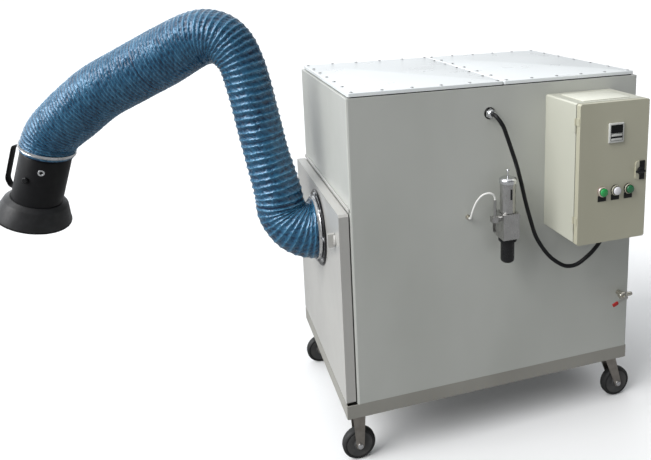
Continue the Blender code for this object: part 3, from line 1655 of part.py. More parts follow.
def make_bonnet(foot, mat):
    """The bonnet over the filter's spring, with a slot in its side, and the cap and adjusting screw."""
    cap = foot + BONNET_H
    top = cap + CAP_H
    bore = KNOB_STEM_R + GAP
    profile = [
        (0, foot),
        (BONNET_R, foot),
        (BONNET_R, cap),
        (CAP_R - CAP_RIM / 2, cap),
        (CAP_R, cap + CAP_RIM / 2),
        (CAP_R, top - CAP_RIM),
        (CAP_R - CAP_RIM, top),
        (bore, top),
        (bore, cap),
        (0, cap),
    ]
    bonnet = turned("filter_bonnet", profile, 16, filter_at(), mat)
    slot_top = cap - BONNET_WINDOW_DROP
    y = FRONT - FILTER_OUT
    slot = block_object(
        "bonnet_slot_tool",
        (FILTER_X - BONNET_WINDOW_W / 2, y - 2 * BONNET_R, slot_top - BONNET_WINDOW_H),
        (FILTER_X + BONNET_WINDOW_W / 2, y - BONNET_R * 2 / 3, slot_top),
        mat,
    )
    cut(bonnet, slot)
    stem = top + KNOB_STEM_H
    knob_profile = [(0, cap + GAP), (KNOB_STEM_R, cap + GAP), (KNOB_STEM_R, stem)]
    for i in range(4):
        a = math.radians(-50 + 140 * i / 4)
        knob_profile.append((KNOB_R * math.cos(a), stem + KNOB_R + KNOB_R * math.sin(a)))
    knob_profile.append((0, stem + 2 * KNOB_R))
    steel = zinc("adjusting_screw_zinc")
    turned("filter_adjusting_screw", knob_profile, 8, filter_at(), steel, origin=(FILTER_X, y, cap + GAP))


def make_bowl(top):
    """The filter's bowl, rounded at its foot, under its clamping ring."""
    ring = top - RING_H
    foot = ring - BOWL_H
    profile = [(0, foot)]
    for i in range(4):
        a = math.pi / 2 * i / 3
        profile.append((BOWL_R / 2 + BOWL_R / 2 * math.sin(a), foot + BOWL_R / 2 * (1 - math.cos(a))))
    profile += [
        (BOWL_R, ring),
        (RING_R - RING_H / 3, ring),
        (RING_R, ring + RING_H / 3),
        (RING_R, top),
        (0, top),
    ]
    turned("filter_bowl", profile, 16, filter_at(), black_paint("filter_bowl_black"))


def add_tube_elbow(head, mat):
    y = FRONT - FILTER_OUT
    port_x = FILTER_X - FILTER_HEAD_W / 2 - PORT_LEN
    port_z = FILTER_HEAD_Z + PORT_UP
    half = PORT_R + GAP
    low = (port_x - ELBOW_LEN, y - half, port_z - half)
    fuse(head, block_object("tube_elbow_tool", low, (port_x + PORT_LEN / 3, y + half, port_z + half), mat))
    riser = bmesh.new()
    x = TUBE_ROUTE[0][0]
    rod_between(riser, (x, y, port_z), (x, y, TUBE_ROUTE[0][2] - TUBE_R / 3), TUBE_R + TUBE_R / 2, 8)
    fuse(head, add("elbow_riser_tool", riser, mat, True))


def make_air_tube():
    """The thin white tube from the filter's elbow into a fitting on the cabinet."""
    brass = paint("fitting_brass", (0.55, 0.50, 0.40), 0.3, 0.9)
    fitting = [
        (0, GAP),
        (FITTING_R, GAP),
        (FITTING_R, FITTING_LEN / 2),
        (TUBE_R + TUBE_R / 2, FITTING_LEN / 2),
        (TUBE_R + TUBE_R / 2, FITTING_LEN),
        (0, FITTING_LEN),
    ]
    turned("tube_fitting", fitting, 10, frame((TUBE_IN_X, FRONT, TUBE_IN_Z), (0, -1, 0)), brass)
    points, length = smooth_points(TUBE_ROUTE, 5 * TUBE_R)
    print("air tube length %.3f m" % length)
    curve_tube("air_tube", points, [TUBE_R] * len(points), 2, paint("air_tube_white", (0.8, 0.8, 0.78), 0.4))


# Supply valve


def make_valve():
    mat = paint("valve_nickel", (0.62, 0.62, 0.60), 0.25, 1.0)
    y = FRONT - VALVE_OUT
    along = frame((VALVE_X, y, VALVE_Z), (1, 0, 0))
    profile = [
        (0, -VALVE_LEN / 2),
        (NIPPLE_R, -VALVE_LEN / 2),
        (VALVE_R, -VALVE_LEN / 4),
        (VALVE_R, VALVE_LEN / 4),
        (NIPPLE_R, VALVE_LEN / 2),
        (BARB_R, VALVE_LEN / 2 + RUN_GAP),
        (BARB_R + RUN_GAP, VALVE_LEN / 2 + BARB_LEN / 2),
        (BARB_R, VALVE_LEN / 2 + BARB_LEN / 2 + RUN_GAP),
        (BARB_R - RUN_GAP, VALVE_LEN / 2 + BARB_LEN),
        (0, VALVE_LEN / 2 + BARB_LEN),
    ]
    valve = turned("valve_body", profile, 10, along, mat)
    neck = bmesh.new()
    rod_between(neck, (VALVE_X, FRONT - GAP, VALVE_Z), (VALVE_X, y, VALVE_Z), NIPPLE_R, 10)
    fuse(valve, add("valve_neck_tool", neck, mat, True))
    stem = bmesh.new()
    rod_between(stem, (VALVE_X, y, VALVE_Z), (VALVE_X, y - VALVE_R - STEM_LEN / 2, VALVE_Z), STEM_R, 8)
    fuse(valve, add("valve_stem_tool", stem, mat, True))


def make_valve_lever():
    steel = zinc("lever_zinc")
    y = FRONT - VALVE_OUT - VALVE_R - STEM_LEN / 2 - GAP
    origin = (VALVE_X, y, VALVE_Z)
    out = frame((VALVE_X, y, VALVE_Z), (0, -1, 0))
    lever = turned("valve_lever", rod_profile(LEVER_HUB_R, 0, LEVER_HUB_T), 12, out, steel, origin=origin)
    half = LEVER_W / 2
    # Seen from in front, local X points right, so the bar runs to the left and droops
    bar = [
        (0, half),
        (-LEVER_LEN, half - LEVER_DROOP),
        (-LEVER_LEN, -half - LEVER_DROOP),
        (0, -half),
    ]
    level = Matrix.Translation((0, 0, LEVER_HUB_T / 2 - LEVER_T / 2))
    fuse(lever, extruded("lever_bar_tool", bar, LEVER_T, out @ level, steel))
    slope = LEVER_DROOP / LEVER_LEN
    x1 = -LEVER_LEN + LEVER_W / 2
    x0 = x1 - LEVER_GRIP_LEN
    wide = LEVER_GRIP_W / 2
    grip = [
        (x1, wide + x1 * slope),
        (x0, wide * 2 / 3 + x0 * slope),
        (x0, -wide * 2 / 3 + x0 * slope),
        (x1, -wide + x1 * slope),
    ]
    thick = Matrix.Translation((0, 0, LEVER_HUB_T / 2 - LEVER_GRIP_T / 2))
    fuse(lever, extruded("lever_grip_tool", grip, LEVER_GRIP_T, out @ thick, steel))


# Casters


def caster_places(side):
    x = LEFT + CASTER_INSET_X if side == "left" else RIGHT - SWIVEL_INSET_X
    return (("front", x, FRONT + CASTER_INSET_Y), ("rear", x, BACK - CASTER_INSET_Y))


def wheel_profile():
    half = WHEEL_W / 2
    hub = WHEEL_HUB_W / 2
    tread = WHEEL_R * TREAD_R_SHARE
    return [
        (AXLE_R + GAP, -hub),
        (WHEEL_HUB_R, -hub),
        (WHEEL_HUB_R, -half + WHEEL_DISH),
        (tread, -half),
        (WHEEL_R - WHEEL_EDGE, -half),
        (WHEEL_R, -half + WHEEL_EDGE),
        (WHEEL_R, half - WHEEL_EDGE),
        (WHEEL_R - WHEEL_EDGE, half),
        (tread, half),
        (WHEEL_HUB_R, half - WHEEL_DISH),
        (WHEEL_HUB_R, hub),
        (AXLE_R + GAP, hub),
    ]


def make_wheel(name, x, y):
    origin = (x, y, AXLE_Z)
    turned(name, wheel_profile(), 20, frame(origin, (0, -1, 0)), rubber(name + "_rubber"), origin=origin)


def fork_leg(x_top, top, x_foot, width_top):
    """A pressed fork leg's outline: wide under the plate, round about the axle."""
    points = [(x_top + width_top / 2, top), (x_top - width_top / 2, top)]
    for i in range(5):
        a = math.pi + math.pi * i / 4
        r = FORK_FOOT_W / 2
        points.append((x_foot + r * math.cos(a), AXLE_Z + r * math.sin(a)))
    return points


def fork_offset():
    return WHEEL_HUB_W / 2 + FORK_GAP


def add_fork_legs(fork, x, y, top, x_foot, mat):
    """Both legs of a fork and the axle that is fixed in them."""
    legs = bmesh.new()
    for side in (-1, 1):
        low = min(side * fork_offset(), side * (fork_offset() + FORK_T))
        # The outline is drawn in the XZ plane and raised along -Y
        place = Matrix.Translation((0, y - low, 0)) @ Matrix.Rotation(math.pi / 2, 4, "X")
        extrude(legs, fork_leg(x, top, x_foot, FORK_W), FORK_T, place)
    fuse(fork, add(fork.name + "_legs_tool", legs, mat))
    axle = bolt_profile(AXLE_R, fork_offset() + FORK_T * 3 / 4, AXLE_HEAD_R, AXLE_HEAD_T)
    at = frame((x_foot, y, AXLE_Z), (0, -1, 0))
    fuse(fork, turned(fork.name + "_axle_tool", axle, 8, at, mat))


def make_rigid_casters():
    for end, x, y in caster_places("left"):
        steel = zinc("rigid_fork_zinc")
        fork = caster_plate("rigid_caster_" + end, x, y, steel)
        add_fork_legs(fork, x, y, -GAP - TOP_PLATE_T / 2, x, steel)
        make_wheel("wheel_left_" + end, x, y)


def caster_plate(name, x, y, mat):
    low = (x - TOP_PLATE_X / 2, y - TOP_PLATE_Y / 2, -GAP - TOP_PLATE_T)
    return block_object(name, low, (x + TOP_PLATE_X / 2, y + TOP_PLATE_Y / 2, -GAP), mat)


def make_swivel_casters():
    steel = zinc("swivel_plate_zinc")
    for end, x, y in caster_places("right"):
        caster_plate("swivel_plate_" + end, x, y, steel)
        make_swivel_fork(end, x, y, -2 * GAP - TOP_PLATE_T)
        make_wheel("wheel_right_" + end, x + TRAIL, y)


def make_swivel_fork(end, x, y, top):
    steel = zinc("swivel_fork_zinc")
    profile = [
        (0, top - SWIVEL_T),
        (SWIVEL_R * 2 / 3, top - SWIVEL_T),
        (SWIVEL_R, top - SWIVEL_T / 2),
        (SWIVEL_R, top),
        (0, top),
    ]
    at = Matrix.Translation((x, y, 0))
    fork = turned("swivel_fork_" + end, profile, 14, at, steel, origin=(x, y, AXLE_Z))
    half = fork_offset() + FORK_T / 2
    foot = top - SWIVEL_T
    low = (x - FORK_W / 2 + FORK_T, y - half, foot - FORK_T / 2)
    high = (x + FORK_W / 2 - FORK_T, y + half, foot + FORK_T / 2)
    fuse(fork, block_object("swivel_crown_tool_" + end, low, high, steel))
    add_fork_legs(fork, x, y, foot + FORK_T / 4, x + TRAIL, steel)


# Inside the cabinet


def cartridge_places():
    return [(CARTRIDGE_X - CARTRIDGE_PITCH / 2, 0), (CARTRIDGE_X + CARTRIDGE_PITCH / 2, 0)]


def make_deck():
    """The plate between the dusty chamber and the clean chamber, with a hole over each cartridge."""
    mat = zinc("deck_zinc")
    deck = extruded("tube_sheet", shell_outline(SHEET + GAP), DECK_T, Matrix.Translation((0, 0, DECK_Z)), mat)
    holes = bmesh.new()
    for x, y in cartridge_places():
        turn_profile(
            holes,
            rod_profile(CARTRIDGE_BORE_R, -OVERRUN, DECK_T + OVERRUN),
            20,
            Matrix.Translation((x, y, DECK_Z)),
        )
    cut(deck, add("deck_holes_tool", holes, mat))
    return deck


def make_cartridges():
    """Pleated cartridges that hang under the tube sheet, with a ring at the top and a closed cap below."""
    paper = paint("filter_media", (0.62, 0.60, 0.54), 0.9)
    top = DECK_Z - GAP
    foot = top - CARTRIDGE_LEN
    outer = []
    for k in range(2 * CARTRIDGE_PLEATS):
        a = math.pi * k / CARTRIDGE_PLEATS
        r = CARTRIDGE_R if k % 2 else CARTRIDGE_R - CARTRIDGE_PLEAT
        outer.append((r * math.cos(a), r * math.sin(a)))
    bore = CARTRIDGE_BORE_R + CARTRIDGE_CAP_T / 3
    inner = circle(bore, 2 * CARTRIDGE_PLEATS)
    low = foot + CARTRIDGE_CAP_T / 2
    high = top - CARTRIDGE_CAP_T / 2
    for (x, y), side in zip(cartridge_places(), ("left", "right")):
        media = bmesh.new()
        caps = bmesh.new()
        rect_ring(media, outer, inner, high - low, Matrix.Translation((x, y, low)))
        at = Matrix.Translation((x, y, 0))
        ring = tube_profile(CARTRIDGE_CAP_R, CARTRIDGE_BORE_R, top - CARTRIDGE_CAP_T, top)
        turn_profile(caps, ring, 16, at)
        turn_profile(caps, rod_profile(CARTRIDGE_CAP_R, foot, foot + CARTRIDGE_CAP_T), 16, at)
        cartridge = add("filter_cartridge_" + side, media, paper)
        fuse(cartridge, add("cartridge_caps_tool_" + side, caps, paper, True))


def make_tray():
    """The dust tray, an open pan with a pull on its end towards the door."""
    mat = grey_paint("tray_paint")
    z0 = PLINTH_H + GAP + SHEET + RAIL_GAP
    low = Vector((TRAY_X - TRAY_W / 2, -TRAY_D / 2, z0))
    high = Vector((TRAY_X + TRAY_W / 2, TRAY_D / 2, z0 + TRAY_H))
    tray = block_object("dust_tray", low, high, mat)
    wall = Vector((TRAY_WALL, TRAY_WALL, TRAY_WALL))
    cut(tray, block_object("tray_room", low + wall, high - wall + Vector((0, 0, TRAY_WALL + OVERRUN)), mat))
    pull = bmesh.new()
    mid = z0 + TRAY_H / 2
    for side in (-1, 1):
        a = side * TRAY_PULL_W / 2
        b = side * (TRAY_PULL_W / 2 - TRAY_PULL_T)
        block(
            pull,
            (low.x - TRAY_PULL_OUT, min(a, b), mid - TRAY_PULL_T),
            (low.x + TRAY_WALL / 2, max(a, b), mid + TRAY_PULL_T),
        )
    handle = add("tray_pull_tool", pull, mat)
    bar = block_object(
        "tray_pull_bar_tool",
        (low.x - TRAY_PULL_OUT - TRAY_PULL_T / 2, -TRAY_PULL_W / 2 - GAP, mid - TRAY_PULL_T - GAP),
        (low.x - TRAY_PULL_OUT + TRAY_PULL_T / 2, TRAY_PULL_W / 2 + GAP, mid + TRAY_PULL_T + GAP),
        mat,
    )
    fuse(handle, bar)
    fuse(tray, handle)


def add_partition(deck):
    """The upright plate that parts the clean chamber from the fan bay, with the fan's eye in it."""
    mat = zinc("partition_zinc")
    inset = SHEET + GAP
    top = BODY_H - SHEET - 2 * GAP
    plate = block_object(
        "partition_tool",
        (PARTITION_X - PARTITION_T, FRONT + 2 * inset, DECK_Z + DECK_T / 2),
        (PARTITION_X, BACK - 2 * inset, top),
        mat,
    )
    foot = block_object(
        "partition_foot_tool",
        (PARTITION_X - PARTITION_FOOT, FRONT + 3 * inset, DECK_Z + DECK_T / 3),
        (PARTITION_X - PARTITION_T / 2, BACK - 3 * inset, DECK_Z + 2 * DECK_T),
        mat,
    )
    fuse(plate, foot)
    at = frame((PARTITION_X, FAN_Y, fan_z()), (1, 0, 0))
    eye = rod_profile(FAN_EYE_R, -OVERRUN - PARTITION_T, OVERRUN)
    cut(plate, turned("partition_eye_tool", eye, 16, at, mat))
    fuse(deck, plate)


def fan_frame(x):
    """Local X is up, local Y points away from the viewer, and local Z along the shaft towards -X."""
    rot = Matrix((Vector((0, 0, 1)), Vector((0, 1, 0)), Vector((-1, 0, 0)))).transposed().to_4x4()
    return Matrix.Translation((x, FAN_Y, fan_z())) @ rot


def make_fan_housing():
    """A drum round the impeller, open at its eye, with an outlet duct to the grille in the back."""
    mat = grey_paint("fan_housing_paint")
    x0 = PARTITION_X + GAP
    x1 = x0 + FAN_DEPTH
    inner = FAN_R - FAN_WALL
    at = fan_frame(x1)
    housing = turned("fan_housing", rod_profile(FAN_R, 0, FAN_DEPTH), 20, at, mat)
    low = Vector((x0 + FAN_WALL / 2, FAN_Y, exhaust_z() - FAN_OUT_H / 2))
    high = Vector((x1 - FAN_WALL / 2, BACK - SHEET - GAP, exhaust_z() + FAN_OUT_H / 2))
    fuse(housing, block_object("fan_duct_tool", low, high, mat))
    feet = bmesh.new()
    reach = math.sqrt(inner**2 - (FAN_FOOT_W / 2 + FAN_FOOT_H) ** 2)
    for side in (-1, 1):
        y = FAN_Y + side * FAN_FOOT_W / 2
        foot_low = (x0 + FAN_WALL / 3, y - FAN_FOOT_H, DECK_Z + DECK_T + GAP)
        block(feet, foot_low, (x1 - FAN_WALL / 3, y + FAN_FOOT_H, fan_z() - reach + FAN_FOOT_H))
    fuse(housing, add("fan_feet_tool", feet, mat))
    cut(housing, turned("fan_room_tool", rod_profile(inner, FAN_WALL, FAN_DEPTH - FAN_WALL), 20, at, mat))
    room_low = (low.x + FAN_WALL, FAN_Y + FAN_R / 2, low.z + FAN_WALL)
    room_high = (high.x - FAN_WALL, BACK + OVERRUN, high.z - FAN_WALL)
    cut(housing, block_object("fan_duct_room_tool", room_low, room_high, mat))
    eye = rod_profile(FAN_EYE_R, FAN_DEPTH / 2, FAN_DEPTH + OVERRUN)
    cut(housing, turned("fan_eye_tool", eye, 16, at, mat))
    shaft = rod_profile(MOTOR_SHAFT_R + RUN_GAP, -OVERRUN, FAN_DEPTH / 2)
    cut(housing, turned("fan_shaft_tool", shaft, 10, at, mat))


def impeller_x():
    return PARTITION_X + GAP + (FAN_DEPTH - IMPELLER_W) / 2


def make_impeller():
    """A back plate with a hub and backward-swept blades, turned by the motor's shaft."""
    mat = paint("impeller_alloy", (0.55, 0.55, 0.55), 0.4, 0.9)
    back_x = impeller_x() + IMPELLER_W
    origin = (back_x, FAN_Y, fan_z())
    at = fan_frame(back_x)
    profile = [
        (MOTOR_SHAFT_R + GAP, 0),
        (IMPELLER_R, 0),
        (IMPELLER_R, IMPELLER_PLATE_T),
        (IMPELLER_HUB_R, IMPELLER_PLATE_T),
        (IMPELLER_HUB_R, IMPELLER_W / 2),
        (MOTOR_SHAFT_R + GAP, IMPELLER_W / 2),
    ]
    wheel = turned("impeller", profile, 20, at, mat, origin=origin)
    blades = bmesh.new()
    inner = IMPELLER_HUB_R + IMPELLER_BLADE_T
    for k in range(IMPELLER_BLADES):
        start = math.tau * k / IMPELLER_BLADES
        near = []
        far = []
        for i in range(3):
            share = i / 2
            r = inner + (IMPELLER_R - inner - IMPELLER_BLADE_T) * share
            a = start + IMPELLER_SWEEP * share
            lean = IMPELLER_BLADE_T / 2 / r
            near.append((r * math.cos(a - lean), r * math.sin(a - lean)))
            far.append((r * math.cos(a + lean), r * math.sin(a + lean)))
        root = at @ Matrix.Translation((0, 0, IMPELLER_PLATE_T / 2))
        extrude(blades, near + far[::-1], IMPELLER_W - IMPELLER_PLATE_T / 2, root)
    fuse(wheel, add("impeller_blades_tool", blades, mat))


def make_motor():
    mat = paint("motor_grey", (0.16, 0.18, 0.20), 0.5)
    x0 = PARTITION_X + GAP + FAN_DEPTH + MOTOR_STAND
    outline = []
    step = math.pi / MOTOR_FINS
    for k in range(2 * MOTOR_FINS):
        r = MOTOR_R if k % 2 else MOTOR_R - MOTOR_FIN_H
        for a in (step * (k - MOTOR_FIN_SHARE), step * (k + MOTOR_FIN_SHARE)):
            outline.append((r * math.cos(a), r * math.sin(a)))
    motor = extruded("motor", outline, -MOTOR_LEN, fan_frame(x0), mat)
    shaft = bmesh.new()
    reach = x0 - (impeller_x() + IMPELLER_W / 2)
    turn_profile(shaft, rod_profile(MOTOR_SHAFT_R, -MOTOR_FIN_H, reach), 10, fan_frame(x0))
    fuse(motor, add("motor_shaft_tool", shaft, mat, True))
    foot = block_object(
        "motor_foot_tool",
        (x0 + MOTOR_FIN_H, FAN_Y - MOTOR_FOOT_W / 2, DECK_Z + DECK_T + GAP),
        (x0 + MOTOR_LEN - MOTOR_FIN_H, FAN_Y + MOTOR_FOOT_W / 2, DECK_Z + DECK_T + GAP + MOTOR_FOOT_T),
        mat,
    )
    fuse(motor, foot)
    for x in (x0 + MOTOR_FOOT_W / 5, x0 + MOTOR_LEN - MOTOR_FOOT_W / 5):
        leg = block_object(
            "motor_leg_tool_%d" % round(1000 * x),
            (x - MOTOR_FOOT_T / 2, FAN_Y - MOTOR_R * 2 / 3, DECK_Z + DECK_T + MOTOR_FOOT_T / 2),
            (x + MOTOR_FOOT_T / 2, FAN_Y + MOTOR_R * 2 / 3, fan_z() - MOTOR_R / 2),
            mat,
        )
        fuse(motor, leg)


def make_exhaust():
    """The slatted grille over the outlet on the cabinet's back."""
    mat = grey_paint("exhaust_paint")
    bm = bmesh.new()
    at = frame((fan_x(), BACK + GAP, exhaust_z()), (0, 1, 0))
    clear_w = FAN_DEPTH - 2 * FAN_WALL
    clear_h = FAN_OUT_H - 2 * FAN_WALL
    outer = rounded_rect(clear_w + 2 * EXHAUST_RIM, clear_h + 2 * EXHAUST_RIM, EXHAUST_RIM / 3)
    inner = rounded_rect(clear_w, clear_h, EXHAUST_RIM / 3)
    rect_ring(bm, outer, inner, EXHAUST_T, at)
    grille = add("exhaust_grille", bm, mat)
    slats = bmesh.new()
    pitch = clear_h / EXHAUST_SLATS
    for i in range(EXHAUST_SLATS):
        y = -clear_h / 2 + pitch * (i + 0.5)
        outline = [
            (-pitch / 3, EXHAUST_SLAT_T / 4),
            (-pitch / 3 + EXHAUST_SLAT_T, EXHAUST_SLAT_T / 4),
            (pitch / 3 + EXHAUST_SLAT_T, EXHAUST_T - EXHAUST_SLAT_T / 4),
            (pitch / 3, EXHAUST_T - EXHAUST_SLAT_T / 4),
        ]
        place = at @ Matrix.Translation((-clear_w / 2 - EXHAUST_RIM / 2, y, 0)) @ slat_turn()
        extrude(slats, outline, clear_w + EXHAUST_RIM, place)
    fuse(grille, add("exhaust_slats_tool", slats, mat))


def slat_turn():
    """Draws a slat's outline across the grille: X up the grille, Y out, raised along the grille's width."""
    return Matrix((Vector((0, 1, 0)), Vector((0, 0, 1)), Vector((1, 0, 0)))).transposed().to_4x4()


def main():
    clear_scene()
    make_plinth()
    shell = make_shell()
    make_lid_gasket()
    make_lid("left")
    make_lid("right")
    add_door_hinges(shell, make_door())
    make_door_seal()
    make_latch()
    make_inlet_flange()
    make_arm_bracket()
    make_knuckle()
    make_lower_link()
    make_fore_link()
    make_hood_stem()
    make_hose()
    make_clamps()
    make_hood()
    make_hood_handle()
    add_control_hinges(make_control_box(), make_control_door())
    make_control_seal()
    make_meter()
    make_buttons()
    make_lock()
    make_control_gear()
    make_cable()
    make_filter()
    make_air_tube()
    make_valve()
    make_valve_lever()
    make_rigid_casters()
    make_swivel_casters()
    add_partition(make_deck())
    make_cartridges()
    make_tray()
    make_fan_housing()
    make_impeller()
    make_motor()
    make_exhaust()


main()
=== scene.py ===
import math

import bmesh
import bpy
import numpy as np
from mathutils import Matrix, Vector, noise


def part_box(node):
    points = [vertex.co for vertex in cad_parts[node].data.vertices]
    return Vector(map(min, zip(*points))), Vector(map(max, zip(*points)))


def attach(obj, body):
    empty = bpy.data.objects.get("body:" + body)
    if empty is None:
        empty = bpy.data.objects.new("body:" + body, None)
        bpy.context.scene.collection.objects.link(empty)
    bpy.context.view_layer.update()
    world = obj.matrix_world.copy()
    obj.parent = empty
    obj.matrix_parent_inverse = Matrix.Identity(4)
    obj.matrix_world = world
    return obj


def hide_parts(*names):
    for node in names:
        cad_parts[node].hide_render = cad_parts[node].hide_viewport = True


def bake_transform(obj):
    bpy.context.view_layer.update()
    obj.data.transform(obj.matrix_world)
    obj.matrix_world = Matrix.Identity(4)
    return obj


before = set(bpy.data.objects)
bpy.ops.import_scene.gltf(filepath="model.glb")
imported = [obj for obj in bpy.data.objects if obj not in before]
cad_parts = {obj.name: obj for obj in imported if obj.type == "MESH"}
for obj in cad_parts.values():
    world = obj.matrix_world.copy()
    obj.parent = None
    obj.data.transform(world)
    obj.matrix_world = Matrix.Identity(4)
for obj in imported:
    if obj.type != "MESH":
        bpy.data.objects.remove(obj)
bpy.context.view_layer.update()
UP = Vector((0, 0, 1))

# Camera
CAMERA_PLACE = Vector((-0.8692, -2.042, 1.266))
CAMERA_AZIMUTH = math.radians(18.131)
CAMERA_DIP = math.radians(11.468)
CAMERA_ROLL = math.radians(-1.472)
CAMERA_SENSOR = 36
CAMERA_LENS = 37.758
CAMERA_SHIFT = (-0.1144, -0.1843)
CAMERA_REACH = 50

# Light and floor
SKY_COLOUR = (0.94, 0.97, 1.0)
SKY_BRIGHT = 1.9
SKY_DIM = 0.2
SKY_EVEN_FROM = 0.2
SKY_TURN = 35.0
KEY_TOWARDS = (-0.72, -0.2, 0.64)
KEY_STRENGTH = 2.5
KEY_SPREAD = 40
TOP_TOWARDS = (0.05, 0.1, 1.0)
TOP_STRENGTH = 0.6
TOP_SPREAD = 70
FLOOR_Z = -0.16
FLOOR_REACH = 150.0
FLOOR_SEEN = (0.9, 0.9, 0.9)
FLOOR_CLOUD = (0.91, 0.91, 0.91)
FLOOR_BOUNCE = (0.3, 0.3, 0.3)

# Small distances: room between pieces, one piece sunk in another, and the weld of doubled points
CLEAR = 0.0003
TOUCH = 0.0001
SUNK = 0.0004
WELD = 0.000002
SKIN_WELD = 0.0000005

# The share of a side that the rounding of one corner may take
ROUND_SHARE = 0.45

# Cabinet and lids
LEFT = -0.456
RIGHT = 0.456
FRONT = -0.32
DOOR_FACE_X = -0.488
LID_INSET = 0.008
LID_SEAM_X = 0.01
LID_SEAM_GAP = 0.002
LID_LOW = 0.9433
LID_HIGH = 0.9533
LID_CORNER = 0.006
LID_EDGE = 0.0018
SCREW_INSET = 0.013
SCREW_COLUMNS = 6
SCREW_ROWS = 7
SCREW_HEAD = (
    (0, -SUNK), (0.0052, -SUNK), (0.0052, 0.0007), (0.00416, 0.00192), (0.00182, 0.0024),
    (0.00182, 0.00084), (0, 0.00072),
)
STRIP_LOW = (-0.46, -0.316, 0.6235)
STRIP_HIGH = (-0.4563, 0.316, 0.6345)
STRIP_EDGE = 0.0012

# Arm and hose: the route runs out of the door, sideways and up from the arm's base
ARM_HEADING = math.radians(28.0)
ARM_BASE = Vector((-0.558, -0.022, 0.483))
ARM_OUT = Vector((-math.cos(ARM_HEADING), math.sin(ARM_HEADING), 0))
ARM_SIDE = Vector((math.sin(ARM_HEADING), math.cos(ARM_HEADING), 0))
HOSE_ROUTE = (
    (-0.05607, 0.02981, 0.0), (-0.05033, 0.02676, 0.0), (-0.04459, 0.02371, 0.0),
    (-0.0231, 0.0128, 0.0032), (-0.0024, 0.0041, 0.0125), (0.0173, -0.0001, 0.0272),
    (0.0338, -0.0004, 0.0465), (0.0446, 0.0001, 0.0689), (0.0477, 0.0, 0.0849),
    (0.051, 0.0, 0.117), (0.0572, 0.0, 0.147), (0.0657, 0.0, 0.182),
    (0.083, 0.0, 0.254), (0.102, 0.0, 0.351), (0.124, 0.0, 0.46),
    (0.148, 0.0, 0.54), (0.188, 0.0, 0.59), (0.236, 0.0, 0.6055),
    (0.29, 0.0, 0.596), (0.394, 0.0, 0.545), (0.517, 0.0, 0.486),
    (0.623, 0.0, 0.433), (0.716, 0.0, 0.366), (0.756, 0.0, 0.3358),
    (0.7841, 0.0, 0.3138), (0.8092, 0.0, 0.2878), (0.8262, 0.0, 0.2558),
    (0.8296, 0.0, 0.2464), (0.833, 0.0, 0.237),
)
HOSE_RADII = (
    (0.0, 0.0965), (0.01, 0.0965), (0.035, 0.08725), (0.07, 0.078), (0.22, 0.07), (0.42, 0.07),
    (0.5, 0.083), (0.62, 0.092), (0.88, 0.092), (0.97, 0.085), (1.0, 0.085),
)
HOSE_RIBS = 104
HOSE_STRETCHES = (
    (0.0, 0.92), (0.1, 1.0), (0.14, 1.5), (0.29, 1.55), (0.36, 0.85), (1.0, 0.85),
)
HOSE_SPLITS = (0.105, 0.24, 0.66)
HOSE_RIB_SHARE = 0.34
HOSE_RIB_SHARPNESS = 0.75
HOSE_WALL = 0.0105
HOSE_PITCH = 0.0205
HOSE_BORE_STEP = 0.036
HOSE_SIDES = 144
HOSE_STEPS = 5
HOSE_WRINKLE = 0.0022
HOSE_SLANT = 11.0
HOSE_CREASES_ROUND = 10.0
HOSE_CREASES_ALONG = 42.0
HOSE_CREASE_THINNESS = 4.5
HOSE_CREST_CREASES = 0.45
HOSE_SWELLS_ROUND = 1.8
HOSE_SWELLS_ALONG = 11.0
HOSE_SWELL_SHARE = 0.3
HOSE_WAVER = 0.002
HOSE_WAVER_SCALE = 1.9
HOSE_FOLD_SHARE = 0.55
HOSE_PLAIN_END = 0.002
HOSE_SEAM = 0.0001
HOSE_EASE = 0.0006
HOSE_SHADE_ANGLE = 75.0

# Inlet on the door
INLET_AT = (DOOR_FACE_X, -0.022, 0.483)
INLET_BORE_R = 0.068
INLET_RING_BORE_R = 0.07
SPIGOT_R = 0.0965
SPIGOT_FOOT = 0.0095
SPIGOT_SHORT = 0.0005
RING_SHOULDER_R = 0.1
RING_FACE_R = 0.116
RING_R = 0.12
RING_T = 0.006
RING_EDGE_T = 0.003
RING_BOLTS = 8
RING_BOLTS_R = 0.1085
RING_BOLT = (0.0062, 0.0012, 0.0052)
RING_BOLT_BEVEL = 0.0006
WASHER = ((0, -0.0004), (0.0078, -0.0004), (0.0078, 0.0011), (0, 0.0013))
INLET_BAND_R = (0.0966, 0.0995)
BAND_HEM = 0.0012
BAND_HOLLOW = 0.0008
BAND_RISE = 0.0022

# Hood: its shapes are pairs of radius and height
HOOD_AT = Vector((-1.2935, 0.36907, 0.72))
HOOD_AXIS = Vector((-0.30198, 0.16057, -0.93969)).normalized()
NECK_R = 0.078
NECK_WALL = 0.0015
NECK_LEN = 0.18
NECK_TOP_R = 0.0675
NECK_TOP_LEN = 0.032
NECK_SHOULDER = 0.006
NECK_EDGE = 0.002
NECK_EDGE_LOW = 0.0045
NECK_EDGE_HIGH = 0.0075
FLARE_SOCKET = 0.012
FLARE_COLLAR_R = 0.082
FLARE_COLLAR_EDGE = 0.0015
FLARE_LIP = 0.0055
FLARE_SOFT = 0.002
FLARE_TOP_R = 0.098
FLARE_MOUTH_R = 0.1188
FLARE_LEN = 0.06
RIM_W = 0.003
RIM_H = 0.0065
RIM_SHAPE = ((-RIM_W, -RIM_H), (0, -RIM_H), (0, 0), (-RIM_W, 0), (-RIM_W, -0.006))
RIM_ROUND = 0.0012
STRAP_STEPS = 6
HOOD_BAND_R = (0.0852, 0.0876)
HOOD_BAND_LOW = -0.0203
HOOD_BAND_HIGH = -0.0103
GRIP_PATH = ((0.0783, 0.014), (0.117, 0.018), (0.117, 0.142), (0.0988, 0.162), (0.0783, 0.162))
GRIP_BEND = 0.014
GRIP_W = 0.025
GRIP_T = 0.004
